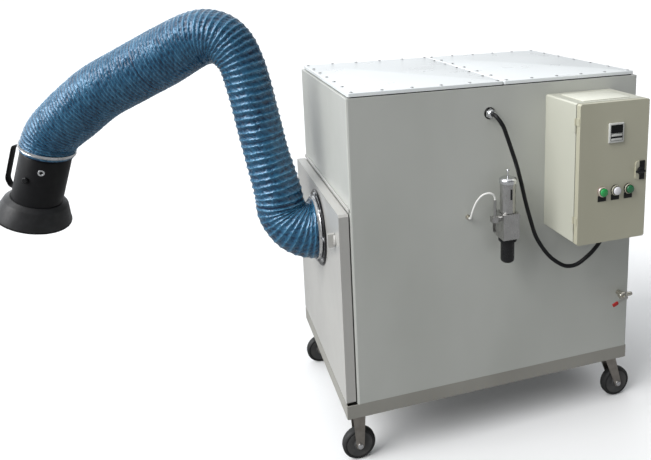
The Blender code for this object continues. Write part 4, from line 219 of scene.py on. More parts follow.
EYELET_DROP = 0.041
EYELET_TURN = math.radians(-120.0)
EYELET_RING = (
    (0.0052, -0.0018), (0.0105, -0.0018), (0.0105, 0.0026), (0.0052, 0.0026), (0.0052, -0.0017),
)
EYELET_ROUND = 0.001
# A black disc in the eyelet: painted shade for its hole
EYELET_HOLE_SHADE = ((0, -0.001), (0.005, -0.001), (0.005, 0.0006), (0, 0.0006))
PIVOT_DROP = 0.079
PIVOT_CAP = ((0, 0.0001), (0.0102, 0.0001), (0.0102, 0.006), (0.008, 0.0078), (0, 0.0083))

# Control box: sizes are width, height and thickness
BOX_FACE_Y = -0.5003
BOX_TOP_Z = 0.906
BOX_TOP_PLATE = ((0.175, -0.462), (0.325, -0.35))
BOX_TOP_PLATE_T = 0.0016
BOX_TOP_PLATE_EDGE = 0.0007
METER_AT = (0.254, 0.82)
METER_SIZE = (0.048, 0.056, 0.0062)
METER_EDGE = 0.002
METER_FACE = 0.006 - SUNK
DISPLAY_RISE = 0.011
DISPLAY_SIZE = (0.0384, 0.02352, 0.0012)
DISPLAY_EDGE = 0.0005
RECESS_DROP = 0.01204
RECESS_SIZE = (0.0384, 0.02016, 0.001)
RECESS_EDGE = 0.0004
BAR_HALF = (0.01728, 0.00308)
BAR_OFFSET = 0.00588
BAR_LOW = 0.0058
BAR_HIGH = 0.0074
BAR_EDGE = 0.0006
BUTTONS_X = (0.2175, 0.26, 0.3025)
BUTTONS_Z = 0.655
BUTTON_R = 0.0092
BUTTON_FOOT = -0.003
BEZEL = (
    (0.0101, TOUCH), (0.0153, TOUCH), (0.0153, 0.004588), (0.0125, 0.0074), (0.0101, 0.0074),
    (0.0101, CLEAR),
)
BEZEL_ROUND = 0.0012
CAP_WIDE = 0.0117
CAP_FOOT = 0.0106
CAP_SIDE = 0.0014
CAP_DOME = 0.0036
LEGEND_DROP = 0.02
LEGEND_SIZE = (0.027, 0.017, 0.0012)
LEGEND_EDGE = 0.0005
LOCK_AT = (0.3375, 0.704)
LOCK_COVER_X = 0.3433
LOCK_SIZE = (0.019, 0.0546, 0.0044)
LOCK_COVER_EDGE = 0.0014
LOCK_STEM = ((0, 0.005), (0.0112, 0.005), (0.0112, 0.0088), (0.0098, 0.0102), (0, 0.0102))
LOCK_WING = ((-0.0205, -0.0034, 0.0095), (0.01, 0.0034, 0.0163), 0.0022)
LOCK_GRIP = ((-0.0135, -0.0062, 0.006), (0.009, 0.0062, 0.012), 0.0026)

# Cable and its gland
CABLE_R = 0.006
CABLE_ROUTE = (
    (-0.038, -0.3405, 0.866), (-0.038, -0.35, 0.866), (-0.036, -0.36, 0.8625),
    (-0.031, -0.3665, 0.854), (-0.025, -0.371, 0.843), (-0.0175, -0.3735, 0.8265),
    (0.0015, -0.375, 0.7727), (0.0203, -0.374, 0.7197), (0.0363, -0.372, 0.666),
    (0.052, -0.37, 0.607), (0.0702, -0.369, 0.5462), (0.09, -0.37, 0.4897),
    (0.1244, -0.375, 0.4358), (0.1574, -0.38, 0.4055), (0.1854, -0.385, 0.3918),
    (0.2164, -0.39, 0.3951), (0.2485, -0.395, 0.417), (0.2703, -0.397, 0.437),
    (0.286, -0.398, 0.456), (0.292, -0.3983, 0.472), (0.292, -0.3983, 0.4855),
)
CORD_ROUNDNESS = 7
CURVE_STEPS = 24
GLAND_AT = (-0.038, FRONT, 0.866)
GLAND_RING = (
    (0.0063, CLEAR), (0.0172, CLEAR), (0.0172, 0.0016), (0.016, 0.0028), (0.0063, 0.0028),
)
GLAND_NUT = (0.0155, 0.0029, 0.009)
GLAND_NUT_BEVEL = 0.001
GLAND_DOME = (
    (0.0063, 0.0091), (0.0128, 0.0091), (0.0128, 0.0142), (0.0112, 0.0178), (0.0084, 0.02),
    (0.0063, 0.0203),
)

# Air filter and its tube. An arc has a middle, a height, a width, a rise, two angles and steps
FILTER_AT = Vector((-0.0075, -0.375, 0.0))
BONNET_FOOT = 0.5863
BONNET_H = 0.085
BONNET = ((0, 0), (0.0213, 0), (0.0225, 0.0012), (0.0225, BONNET_H), (0, BONNET_H))
FILTER_CAP = ((0.0033, 0), (0.026, 0), (0.026, 0.012), (0.02, 0.018), (0.0033, 0.018), (0.0033, CLEAR))
FILTER_CAP_ROUND = 0.003
WINDOW = ((-0.011, -0.3978, 0.6273), (-0.004, -0.3935, 0.6593), 0.0012)
STEM = ((0, 0.0006), (0.003, 0.0006), (0.003, 0.032))
KNOB_ARC = (0, 0.0368, 0.005, 0.005, -53, 90, 8)
BOWL_TOP = 0.5092
BOWL_FOOT = -0.075
BOWL_ARC = (0.01, -0.065, 0.01, 0.01, -90, 0, 9)
BOWL_LIP = ((0.02, -0.0005), (0, -0.0005))
COLLAR = ((0.0195, 0), (0.0265, 0), (0.0265, -0.009), (0.0195, -0.009), (0.0195, -CLEAR))
COLLAR_ROUND = 0.0016
TUBE_R = 0.003
TUBE_ROUTE = (
    (-0.0475, -0.375, 0.626), (-0.0475, -0.375, 0.631), (-0.051, -0.3748, 0.64),
    (-0.06, -0.3738, 0.6465), (-0.0715, -0.37, 0.6465), (-0.084, -0.364, 0.639),
    (-0.096, -0.357, 0.621), (-0.103, -0.3515, 0.6), (-0.107, -0.3475, 0.582),
    (-0.108, -0.343, 0.57), (-0.108, -0.3375, 0.566), (-0.108, -0.3325, 0.566),
)
FITTING_AT = (-0.108, FRONT, 0.566)
FITTING_NUT = (0.008, 0.0003, 0.0055)
FITTING_NUT_BEVEL = 0.0006
FITTING_BARREL = ((0, 0.0054), (0.0045, 0.0054), (0.0045, 0.0108), (0, 0.0108))

# Supply valve
VALVE_AT = (0.417, -0.344, 0.237)
VALVE_BARREL = (
    (0, -0.013), (0.008, -0.013), (0.0115, -0.0065), (0.0115, 0.0065), (0.008, 0.013),
    (0.006, 0.0142), (0.007, 0.0235), (0.006, 0.0245), (0.0068, 0.029), (0.0052, 0.0348), (0, 0.0348),
)
VALVE_ROUND = 0.0015
VALVE_STEM = ((0, 0.004), (0.0035, 0.004), (0.0035, 0.0157), (0, 0.0157))
VALVE_PIPE = ((0, 0.004), (0.008, 0.004), (0.008, 0.0234), (0, 0.0234))
LEVER_RISE = 0.0163
LEVER_DROP = math.atan2(0.014, 0.034)
LEVER_HUB = ((0, 0), (0.0065, 0), (0.0065, 0.005), (0, 0.005))
LEVER_HUB_ROUND = 0.001
LEVER_BAR = ((-0.0368, -0.0042, 0.0015), (0.0, 0.0042, 0.0035), 0.0008)
LEVER_GRIP = ((-0.052, -0.0056, -0.001), (-0.031, 0.0056, 0.006), 0.0028)

# Casters: places along X and Y, the body of each wheel, and the node that it stands for
WHEEL_Z = -0.11
AXLE_X = 0.448
AXLE_Y = 0.278
WHEELS = (
    ("left_front_wheel", -AXLE_X, -AXLE_Y, "wheel_left_front"),
    ("left_rear_wheel", -AXLE_X, AXLE_Y, "wheel_left_rear"),
    ("right_front_wheel", AXLE_X, -AXLE_Y, "wheel_right_front"),
    ("right_rear_wheel", AXLE_X, AXLE_Y, "wheel_right_rear"),
)
TYRE = (
    (0.039, -0.0138), (0.044, -0.014), (0.0499, -0.0085), (0.0499, 0.0085), (0.044, 0.014),
    (0.039, 0.0138), (0.039, -0.013),
)
TYRE_ROUND = 0.004
HUB = (
    (0.0053, -0.017), (0.016, -0.017), (0.016, -0.009), (0.0388, -0.0136), (0.0388, 0.0136),
    (0.016, 0.009), (0.016, 0.017), (0.0053, 0.017), (0.0053, -0.0165),
)
HUB_ROUND = 0.0015
AXLE_ENDS = (
    ("rigid_front", "cabinet", -AXLE_X, -AXLE_Y),
    ("rigid_rear", "cabinet", -AXLE_X, AXLE_Y),
    ("swivel_front", "swivel_front", AXLE_X, -AXLE_Y),
    ("swivel_rear", "swivel_rear", AXLE_X, AXLE_Y),
)
FORK_OUT = 0.0215
AXLE_CAP = ((0, 0), (0.0093, 0), (0.0093, 0.0015), (0.0082, 0.004), (0.0055, 0.0056), (0, 0.0062))

# Paint and cloth
COAT_ROUGHNESS = 0.12
NOISE_LOW = 0.3
NOISE_HIGH = 0.7
HOSE_BLUE = (0.026, 0.14, 0.265)
HOSE_LIGHTER = (0.036, 0.17, 0.305)
# Painted shade for the hose's folds and bore, and a painted highlight for its crests
HOSE_FOLD_SHADE = (0.002, 0.02, 0.06)
HOSE_CREST_HIGHLIGHT = (0.15, 0.36, 0.53)


def set_inputs(node, values):
    """Gives a shader node's inputs their values. An underscore stands for a space in a name."""
    for name, value in values.items():
        node.inputs[name.replace("_", " ")].default_value = value
    return node


def add_node(tree, kind, **values):
    return set_inputs(tree.nodes.new("ShaderNode" + kind), values)


class Finish:
    """A procedural material in object space: each call adds one layer of detail."""

    def __init__(self, name, colour, rough, metal=0.0, coat=0.0):
        self.mat = bpy.data.materials.new(name)
        self.mat.use_nodes = True
        self.mat.diffuse_color = (*colour, 1)
        self.tree = self.mat.node_tree
        self.shader = self.tree.nodes["Principled BSDF"]
        look = {"Base Color": (*colour, 1), "Roughness": rough, "Metallic": metal}
        set_inputs(self.shader, look)
        set_inputs(self.shader, {"Coat Weight": coat, "Coat Roughness": COAT_ROUGHNESS})
        self.places = add_node(self.tree, "TexCoord")
        self.colour_out = None
        self.normal_out = None
        self.colour = colour

    def noise(self, scale, detail=4.0, stretch=(1, 1, 1), distortion=0.0):
        spread = add_node(self.tree, "Mapping", Scale=stretch)
        grain = add_node(self.tree, "TexNoise", Scale=scale, Detail=detail, Distortion=distortion)
        self.tree.links.new(self.places.outputs["Object"], spread.inputs["Vector"])
        self.tree.links.new(spread.outputs["Vector"], grain.inputs["Vector"])
        return grain.outputs["Fac"]

    def stored(self, name):
        """A number that the mesh carries at each of its points."""
        node = add_node(self.tree, "Attribute")
        node.attribute_name = name
        return node.outputs["Fac"]

    def ranged(self, value, low, high, to_low, to_high):
        """A value between low and high, moved to another range."""
        node = add_node(
            self.tree, "MapRange", From_Min=low, From_Max=high, To_Min=to_low, To_Max=to_high
        )
        self.tree.links.new(value, node.inputs["Value"])
        return node.outputs["Result"]

    def tint(self, value, colour, low=0.35, high=0.65):
        """Turns the colour towards another where the value is high."""
        mix = self.tree.nodes.new("ShaderNodeMix")
        mix.data_type = "RGBA"
        mix.inputs["A"].default_value = (*self.colour, 1)
        mix.inputs["B"].default_value = (*colour, 1)
        self.tree.links.new(self.ranged(value, low, high, 0.0, 1.0), mix.inputs["Factor"])
        if self.colour_out:
            self.tree.links.new(self.colour_out, mix.inputs["A"])
        self.colour_out = mix.outputs["Result"]
        self.tree.links.new(self.colour_out, self.shader.inputs["Base Color"])

    def roughen(self, value, low, high):
        level = self.ranged(value, NOISE_LOW, NOISE_HIGH, low, high)
        self.tree.links.new(level, self.shader.inputs["Roughness"])

    def bump(self, value, depth, strength=1.0):
        node = add_node(self.tree, "Bump", Strength=strength, Distance=depth)
        self.tree.links.new(value, node.inputs["Height"])
        if self.normal_out:
            self.tree.links.new(self.normal_out, node.inputs["Normal"])
        self.normal_out = node.outputs["Normal"]
        self.tree.links.new(self.normal_out, self.shader.inputs["Normal"])


def sheet_paint(name, colour, shade, rough=0.34, grain=0.00004, waves=0.22):
    """Powder paint on sheet steel: a faint cloudiness, orange peel and uneven gloss."""
    out = Finish(name, colour, rough, coat=0.35)
    out.tint(out.noise(2.6, 3.0, (1, 1, 0.6)), shade, 0.38, 0.68)
    out.roughen(out.noise(9.0, 5.0), rough - 0.05, rough + 0.08)
    out.bump(out.noise(420.0, 2.0), grain, 0.35)
    out.bump(out.noise(4.5, 3.0, (1, 1, 0.5), 0.6), 0.01, waves)
    return out.mat


def metal(name, colour, shade, rough=0.25, brushed=(1, 1, 1), depth=0.00002):
    """Bare metal, a little uneven in colour and shine, and brushed one way where that is given."""
    out = Finish(name, colour, rough, 1.0)
    out.tint(out.noise(55.0, 4.0), shade, 0.35, 0.75)
    out.roughen(out.noise(160.0, 5.0, brushed), rough - 0.07, rough + 0.1)
    out.bump(out.noise(700.0, 3.0, brushed), depth, 0.5)
    return out.mat


def plastic(name, colour, shade, rough=0.35, grain=0.00003, scale=900.0, coat=0.0, shine=0.5):
    """Moulded plastic or smooth black paint with a fine grain."""
    out = Finish(name, colour, rough, coat=coat)
    out.shader.inputs["Specular IOR Level"].default_value = shine
    out.tint(out.noise(40.0, 4.0), shade, 0.4, 0.75)
    out.roughen(out.noise(120.0, 4.0), rough - 0.06, rough + 0.1)
    out.bump(out.noise(scale, 2.0), grain, 0.4)
    return out.mat


def rubber(name, colour, dust, rough=0.62):
    """Dull rubber with a little dust on it."""
    out = Finish(name, colour, rough)
    out.tint(out.noise(26.0, 6.0), dust, 0.52, 0.8)
    out.roughen(out.noise(70.0, 4.0), rough - 0.1, rough + 0.14)
    out.bump(out.noise(650.0, 3.0), 0.00006, 0.5)
    return out.mat


def hose_cloth(name):
    """Coated cloth over a coil: a painted highlight on its crests, painted shade in its folds and bore,
    shiny and finely creased.
    """
    out = Finish(name, HOSE_BLUE, 0.24, metal=0.22, coat=0.3)
    out.tint(out.noise(13.0, 5.0), HOSE_LIGHTER, 0.36, 0.66)
    # Painted shade in the folds and the bore, and a painted highlight on the crests, both from the sunk
    # number
    out.tint(out.stored("sunk"), HOSE_FOLD_SHADE, 0.25, 0.95)
    out.tint(out.stored("sunk"), HOSE_CREST_HIGHLIGHT, 0.16, 0.02)
    out.roughen(out.noise(60.0, 5.0), 0.18, 0.38)
    out.bump(out.noise(75.0, 4.0, distortion=1.0), 0.004, 0.5)
    out.bump(out.noise(1500.0, 2.0), 0.00004, 0.5)
    return out.mat


def put_in_scene(name, data):
    obj = bpy.data.objects.new(name, data)
    bpy.context.scene.collection.objects.link(obj)
    return obj


def make_piece(name, bm, mat, slot, body, *nodes, smooth=35.0):
    """A finished piece at the origin, shaded round up to an angle, riding on a body."""
    bmesh.ops.recalc_face_normals(bm, faces=bm.faces[:])
    mesh = bpy.data.meshes.new(name)
    bm.to_mesh(mesh)
    bm.free()
    for face in mesh.polygons:
        face.use_smooth = True
    mesh.set_sharp_from_angle(angle=math.radians(smooth))
    mesh.materials.append(mat)
    obj = put_in_scene(name, mesh)
    if body:
        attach(obj, body)
    if nodes:
        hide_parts(*nodes)
    return obj


def facing(at, normal, up=UP):
    """A frame at a point, with local Z along the normal and local Y as near up as it can be."""
    z = Vector(normal).normalized()
    x = Vector(up).cross(z)
    if x.length < 0.001:
        x = Vector((1, 0, 0))
    x.normalize()
    y = z.cross(x)
    turn = Matrix((x, y, z)).transposed().to_4x4()
    return Matrix.Translation(at) @ turn


def soften(bm, edges, width, segments):
    """Rounds some edges of a mesh."""
    bmesh.ops.bevel(
        bm, geom=edges, offset=width, segments=segments, affect="EDGES", profile=0.5, material=-1
    )


def add_box(bm, low, high, bevel, segments=3, matrix=None):
    """A box with rounded edges."""
    low = Vector(low)
    high = Vector(high)
    size = high - low
    made = bmesh.ops.create_cube(bm, size=1.0)
    place = Matrix.Translation((low + high) / 2) @ Matrix.Diagonal((*size, 1))
    bmesh.ops.transform(bm, matrix=place, verts=made["verts"])
    edges = list({e for v in made["verts"] for e in v.link_edges})
    before = set(bm.verts) - set(made["verts"])
    soften(bm, edges, bevel, segments)
    if matrix:
        bmesh.ops.transform(bm, matrix=matrix, verts=[v for v in bm.verts if v not in before])


def add_turned(bm, profile, matrix, steps=72):
    """A profile of radius and height, turned about local Z. It closes at the axis or on itself."""
    before = set(bm.verts)
    verts = [bm.verts.new((r, 0, z)) for r, z in profile]
    edges = [bm.edges.new(pair) for pair in zip(verts, verts[1:])]
    if profile[0][0] > 0:
        edges.append(bm.edges.new((verts[-1], verts[0])))
    bmesh.ops.spin(
        bm, geom=verts + edges, cent=(0, 0, 0), axis=(0, 0, 1), angle=math.tau, steps=steps,
        use_merge=True,
    )
    made = [v for v in bm.verts if v not in before]
    bmesh.ops.remove_doubles(bm, verts=made, dist=WELD)
    made = [v for v in bm.verts if v not in before]
    bmesh.ops.transform(bm, matrix=matrix, verts=made)


def add_prism(bm, sides, radius, low, high, matrix, bevel):
    """A nut or bolt head with softened edges, along local Z."""
    before = set(bm.verts)
    made = bmesh.ops.create_cone(
        bm, cap_ends=True, segments=sides, radius1=radius, radius2=radius, depth=high - low,
        matrix=Matrix.Translation((0, 0, (low + high) / 2)),
    )
    edges = list({e for v in made["verts"] for e in v.link_edges})
    soften(bm, edges, bevel, 2)
    bmesh.ops.transform(bm, matrix=matrix, verts=[v for v in bm.verts if v not in before])


def skin(bm, rows, closed, numbers=None):
    """A sheet of faces through rows of points, joined round each row, and end to end if closed.

    Each point can carry a number, which the hose's cloth reads for its painted shade and painted
    highlight.
    """
    around = len(rows[0])
    layer = bm.verts.layers.float.new("sunk") if numbers else None
    full = rows + [rows[0]] if closed else rows
    made = bmesh.ops.create_grid(bm, x_segments=around, y_segments=len(full) - 1, size=1.0)
    columns = sorted({round(v.co.x, 5) for v in made["verts"]})
    lines = sorted({round(v.co.y, 5) for v in made["verts"]})
    at_x = {x: i for i, x in enumerate(columns)}
    at_y = {y: j for j, y in enumerate(lines)}
    for v in made["verts"]:
        i = at_x[round(v.co.x, 5)]
        j = at_y[round(v.co.y, 5)]
        v.co = full[j][i % around]
        if layer:
            v[layer] = numbers[j % len(rows)][i % around]
    bmesh.ops.remove_doubles(bm, verts=made["verts"], dist=SKIN_WELD)


def one_turned(name, profile, matrix, mat, slot, body, *nodes, steps=72, smooth=35.0):
    bm = bmesh.new()
    add_turned(bm, profile, matrix, steps)
    return make_piece(name, bm, mat, slot, body, *nodes, smooth=smooth)


def one_box(name, low, high, bevel, mat, slot, body, *nodes, segments=3, matrix=None):
    bm = bmesh.new()
    add_box(bm, low, high, bevel, segments, matrix)
    return make_piece(name, bm, mat, slot, body, *nodes)


def smooth_points(route, step):
    """Points at even steps along a smooth curve through a route's own points."""
    pts = np.array([tuple(p) for p in route])
    ends = np.vstack([2 * pts[0] - pts[1], pts, 2 * pts[-1] - pts[-2]])
    fine = []
    for i in range(1, len(ends) - 2):
        for t in np.linspace(0, 1, CURVE_STEPS, endpoint=False):
            p0, p1, p2, p3 = ends[i - 1 : i + 3]
            fine.append(
                0.5
                * (
                    2 * p1
                    + (p2 - p0) * t
                    + (2 * p0 - 5 * p1 + 4 * p2 - p3) * t**2
                    + (3 * p1 - p0 - 3 * p2 + p3) * t**3
                )
            )
    fine.append(pts[-1])
    fine = np.array(fine)
    run = np.concatenate([[0], np.cumsum(np.linalg.norm(np.diff(fine, axis=0), axis=1))])
    count = max(2, int(round(run[-1] / step)) + 1)
    at = np.linspace(0, run[-1], count)
    return np.stack([np.interp(at, run, fine[:, k]) for k in range(3)], axis=1), float(run[-1])


# Camera and light


def make_camera():
    forward = Vector(
        (
            math.sin(CAMERA_AZIMUTH) * math.cos(CAMERA_DIP),
            math.cos(CAMERA_AZIMUTH) * math.cos(CAMERA_DIP),
            -math.sin(CAMERA_DIP),
        )
    )
    level = forward.cross(UP).normalized()
    above = level.cross(forward)
    right = level * math.cos(CAMERA_ROLL) + above * math.sin(CAMERA_ROLL)
    up = above * math.cos(CAMERA_ROLL) - level * math.sin(CAMERA_ROLL)
    data = bpy.data.cameras.new("camera")
    data.sensor_width = CAMERA_SENSOR
    data.lens = CAMERA_LENS
    data.shift_x, data.shift_y = CAMERA_SHIFT
    data.clip_end = CAMERA_REACH
    obj = put_in_scene("camera", data)
    turn = Matrix((right, up, -forward)).transposed().to_4x4()
    obj.matrix_world = Matrix.Translation(CAMERA_PLACE) @ turn
    bpy.context.scene.camera = obj


def add_sun(name, towards, strength, spread):
    """A sun that stands in a direction, with soft shadows where its spread is wide."""
    data = bpy.data.lights.new(name, "SUN")
    data.energy = strength
    data.angle = math.radians(spread)
    obj = put_in_scene(name, data)
    obj.rotation_mode = "QUATERNION"
    obj.rotation_quaternion = Vector(towards).to_track_quat("Z", "Y")


def make_world():
    """White behind the object, and a soft sky, brighter on the left, for everything that it lights."""
    world = bpy.data.worlds.new("world")
    bpy.context.scene.world = world
    world.use_nodes = True
    tree = world.node_tree
    tree.nodes.clear()
    out = add_node(tree, "OutputWorld")
    both = add_node(tree, "MixShader")
    path = add_node(tree, "LightPath")
    places = add_node(tree, "TexCoord")
    spread = add_node(tree, "Mapping", Rotation=(0, 0, math.radians(SKY_TURN)))
    fade = add_node(tree, "SeparateXYZ")
    level = add_node(
        tree, "MapRange", From_Min=-1.0, From_Max=SKY_EVEN_FROM, To_Min=SKY_BRIGHT, To_Max=SKY_DIM
    )
    sky = add_node(tree, "Background", Color=(*SKY_COLOUR, 1))
    white = add_node(tree, "Background", Color=(1, 1, 1, 1), Strength=1.0)
    tree.links.new(places.outputs["Generated"], spread.inputs["Vector"])
    tree.links.new(spread.outputs["Vector"], fade.inputs["Vector"])
    tree.links.new(fade.outputs["X"], level.inputs["Value"])
    tree.links.new(level.outputs["Result"], sky.inputs["Strength"])
    tree.links.new(path.outputs["Is Camera Ray"], both.inputs["Fac"])
    tree.links.new(sky.outputs["Background"], both.inputs[1])
    tree.links.new(white.outputs["Background"], both.inputs[2])
    tree.links.new(both.outputs["Shader"], out.inputs["Surface"])


def make_floor():
    """A pale floor as far as the camera sees, which throws less light back than it shows."""
    bm = bmesh.new()
    bmesh.ops.create_grid(bm, x_segments=1, y_segments=1, size=FLOOR_REACH)
    bmesh.ops.translate(bm, verts=bm.verts[:], vec=(0, 0, FLOOR_Z))
    mesh = bpy.data.meshes.new("floor")
    bm.to_mesh(mesh)
    bm.free()
    pale = Finish("floor_pale", FLOOR_SEEN, 0.9)
    pale.tint(pale.noise(1.5), FLOOR_CLOUD)
    tree = pale.tree
    dull = add_node(tree, "BsdfDiffuse", Color=(*FLOOR_BOUNCE, 1))
    both = add_node(tree, "MixShader")
    path = add_node(tree, "LightPath")
    tree.links.new(path.outputs["Is Camera Ray"], both.inputs["Fac"])
    tree.links.new(dull.outputs["BSDF"], both.inputs[1])
    tree.links.new(pale.shader.outputs["BSDF"], both.inputs[2])
    tree.links.new(both.outputs["Shader"], tree.nodes["Material Output"].inputs["Surface"])
    mesh.materials.append(pale.mat)
    put_in_scene("floor", mesh)


bpy.context.scene.view_settings.view_transform = "Standard"
make_camera()
make_world()
make_floor()
add_sun("key", KEY_TOWARDS, KEY_STRENGTH, KEY_SPREAD)
add_sun("top", TOP_TOWARDS, TOP_STRENGTH, TOP_SPREAD)

# Finishes

cabinet_paint = sheet_paint("cabinet_paint", (0.545, 0.555, 0.52), (0.48, 0.492, 0.455))
door_paint = sheet_paint("door_paint", (0.5, 0.492, 0.465), (0.44, 0.433, 0.41))
lid_paint = sheet_paint("lid_paint", (0.81, 0.84, 0.845), (0.785, 0.818, 0.826), 0.3, waves=0.02)
plinth_paint = sheet_paint("plinth_paint", (0.345, 0.335, 0.3), (0.28, 0.27, 0.24), 0.45)
cream = sheet_paint("cream_paint", (0.55, 0.55, 0.47), (0.515, 0.515, 0.435), 0.36, waves=0.08)
# A lighter copy of the cream paint: painted light on the top of the box
cream_painted_light = sheet_paint("cream_paint_painted_light", (0.79, 0.79, 0.69), (0.75, 0.75, 0.65), 0.36, waves=0.04)
# A darker copy of the cream paint: painted shade on the box's door
cream_painted_shade = sheet_paint("cream_paint_painted_shade", (0.51, 0.495, 0.385), (0.455, 0.44, 0.335), 0.36, waves=0.1)
satin_black = plastic("satin_black", (0.008, 0.008, 0.009), (0.011, 0.011, 0.012), 0.36, shine=0.22)
gloss_black = plastic(
    "gloss_black", (0.006, 0.006, 0.007), (0.01, 0.01, 0.011), 0.22, coat=0.15, shine=0.3
)
dull_black = plastic("dull_black", (0.009, 0.009, 0.009), (0.016, 0.016, 0.016), 0.48, shine=0.25)
# A lighter copy of the black paint: painted light on the flare's cone from above
flare_black_painted_light = plastic("flare_black_painted_light", (0.024, 0.024, 0.025), (0.034, 0.034, 0.036), 0.38, shine=0.3)
zinc = metal("zinc_steel", (0.56, 0.55, 0.52), (0.43, 0.42, 0.395), 0.36)
strap_zinc = metal("strap_zinc", (0.4, 0.37, 0.335), (0.3, 0.275, 0.25), 0.42)
bright = metal("bright_steel", (0.76, 0.765, 0.775), (0.61, 0.615, 0.63), 0.2, (1, 1, 6))
screw_steel = metal("screw_steel", (0.47, 0.475, 0.48), (0.33, 0.335, 0.34), 0.32)
alloy = metal("alloy", (0.5, 0.495, 0.485), (0.43, 0.425, 0.415), 0.28, (1, 1, 0.15))
nickel = metal("nickel_brass", (0.72, 0.69, 0.61), (0.59, 0.56, 0.48), 0.22)
rose_chrome = metal("rose_chrome", (0.8, 0.65, 0.68), (0.68, 0.52, 0.56), 0.16)
galvanised = metal("galvanised_steel", (0.56, 0.57, 0.575), (0.44, 0.45, 0.46), 0.4)
tyre_rubber = rubber("caster_rubber", (0.014, 0.014, 0.014), (0.04, 0.038, 0.036))
seal_rubber = rubber("gasket_rubber", (0.014, 0.014, 0.014), (0.03, 0.03, 0.03), 0.7)
hub_grey = plastic("wheel_hub_grey", (0.06, 0.06, 0.06), (0.095, 0.092, 0.088), 0.5)
cable_black = plastic("cable_black", (0.005, 0.005, 0.006), (0.009, 0.009, 0.01), 0.42, shine=0.3)
tube_white = plastic("tube_white", (0.78, 0.78, 0.75), (0.7, 0.7, 0.66), 0.32)
media = plastic("filter_media", (0.64, 0.62, 0.56), (0.52, 0.5, 0.44), 0.85, 0.00025, 600.0)
motor_paint = plastic("motor_paint", (0.11, 0.125, 0.135), (0.085, 0.095, 0.105), 0.42)
green = plastic("button_green", (0.01, 0.3, 0.06), (0.015, 0.37, 0.09), 0.14, coat=0.7)
dark_green = plastic("button_green_dark", (0.006, 0.12, 0.04), (0.01, 0.165, 0.055), 0.16, coat=0.7)
white_button = plastic("button_white", (0.76, 0.75, 0.78), (0.69, 0.68, 0.72), 0.18, coat=0.7)
hose_blue = hose_cloth("hose_blue")
grip_red = plastic("lever_grip_red", (0.42, 0.02, 0.018), (0.33, 0.014, 0.012), 0.38)
display = plastic("display_dark", (0.004, 0.005, 0.005), (0.007, 0.009, 0.008), 0.28, shine=0.2)
meter_pale = plastic("meter_pale", (0.64, 0.645, 0.61), (0.56, 0.565, 0.535), 0.34)

CAD_FINISHES = (
    (plinth_paint, "cabinet_paint", ("base_plinth",)),
    (cabinet_paint, "cabinet_paint", ("cabinet_shell", "exhaust_grille")),
    (seal_rubber, "gasket_rubber", ("lid_gasket", "door_seal", "control_box_seal")),
    (door_paint, "door_paint", ("door_panel", "door_latch")),
    (zinc, "zinc_steel", ("arm_bracket", "arm_knuckle", "arm_lower_link", "arm_fore_link", "hood_stem")),
    (cream, "cream_paint", ("control_box",)),
    # The box's door takes the darker copy of the cream paint: painted shade
    (cream_painted_shade, "cream_paint", ("control_box_door",)),
    (galvanised, "galvanised_steel", ("mounting_plate", "tube_sheet", "dust_tray")),
    (galvanised, "galvanised_steel", ("fan_housing", "impeller")),
    (alloy, "alloy", ("filter_head",)),
    (strap_zinc, "zinc_steel", ("rigid_caster_front", "rigid_caster_rear")),
    (strap_zinc, "zinc_steel", ("swivel_plate_front", "swivel_plate_rear")),
    (strap_zinc, "zinc_steel", ("swivel_fork_front", "swivel_fork_rear")),
    (media, "filter_media", ("filter_cartridge_left", "filter_cartridge_right")),
    (motor_paint, "motor_paint", ("motor",)),
)


def dress_cad():
    """The CAD's own meshes that stay in view, each with its finish."""
    for mat, slot, nodes in CAD_FINISHES:
        for node in nodes:
            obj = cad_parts[node]
            obj.data.materials.clear()
            obj.data.materials.append(mat)


# Cords


def make_cord(name, route, radius, mat):
    """A round cord along its route, which hangs on the cabinet by both ends."""
    points, length = smooth_points(route, radius / 2)
    curve = bpy.data.curves.new(name, "CURVE")
    curve.dimensions = "3D"
    curve.bevel_depth = radius
    curve.bevel_resolution = CORD_ROUNDNESS
    curve.use_fill_caps = True
    curve.twist_mode = "MINIMUM"
    spline = curve.splines.new("POLY")
    spline.points.add(len(points) - 1)
    for point, place in zip(spline.points, points):
        point.co = (*place, 1)
    spline.use_smooth = True
    curve.materials.append(mat)
    obj = put_in_scene(name + "_run", curve)
    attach(obj, "cabinet")
    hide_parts(name)


make_cord("control_cable", CABLE_ROUTE, CABLE_R, cable_black)
make_cord("air_tube", TUBE_ROUTE, TUBE_R, tube_white)

# Hose


def table(pairs, share):
    xs, ys = zip(*pairs)
    return float(np.interp(share, xs, ys))


HOSE_POINTS, HOSE_LENGTH = smooth_points(
    [ARM_BASE + ARM_OUT * a + ARM_SIDE * b + UP * c for a, b, c in HOSE_ROUTE], HOSE_PITCH / 8
)
HOSE_RUNS = np.linspace(0, HOSE_LENGTH, len(HOSE_POINTS))


def hose_at(run):
    return Vector([float(np.interp(run, HOSE_RUNS, HOSE_POINTS[:, k])) for k in range(3)])


def hose_heading(run):
    step = HOSE_PITCH / 4
    return (hose_at(min(HOSE_LENGTH, run + step)) - hose_at(max(0.0, run - step))).normalized()


def rib_stations():
    """Lengths along the hose of its valleys (even) and crests (odd), wider where it is stretched."""
    shares = np.linspace(0, 1, 2 * HOSE_RIBS + 1)
    steps = np.array([table(HOSE_STRETCHES, s) for s in (shares[1:] + shares[:-1]) / 2])
    run = np.concatenate([[0], np.cumsum(steps)])
    return run / run[-1] * HOSE_LENGTH


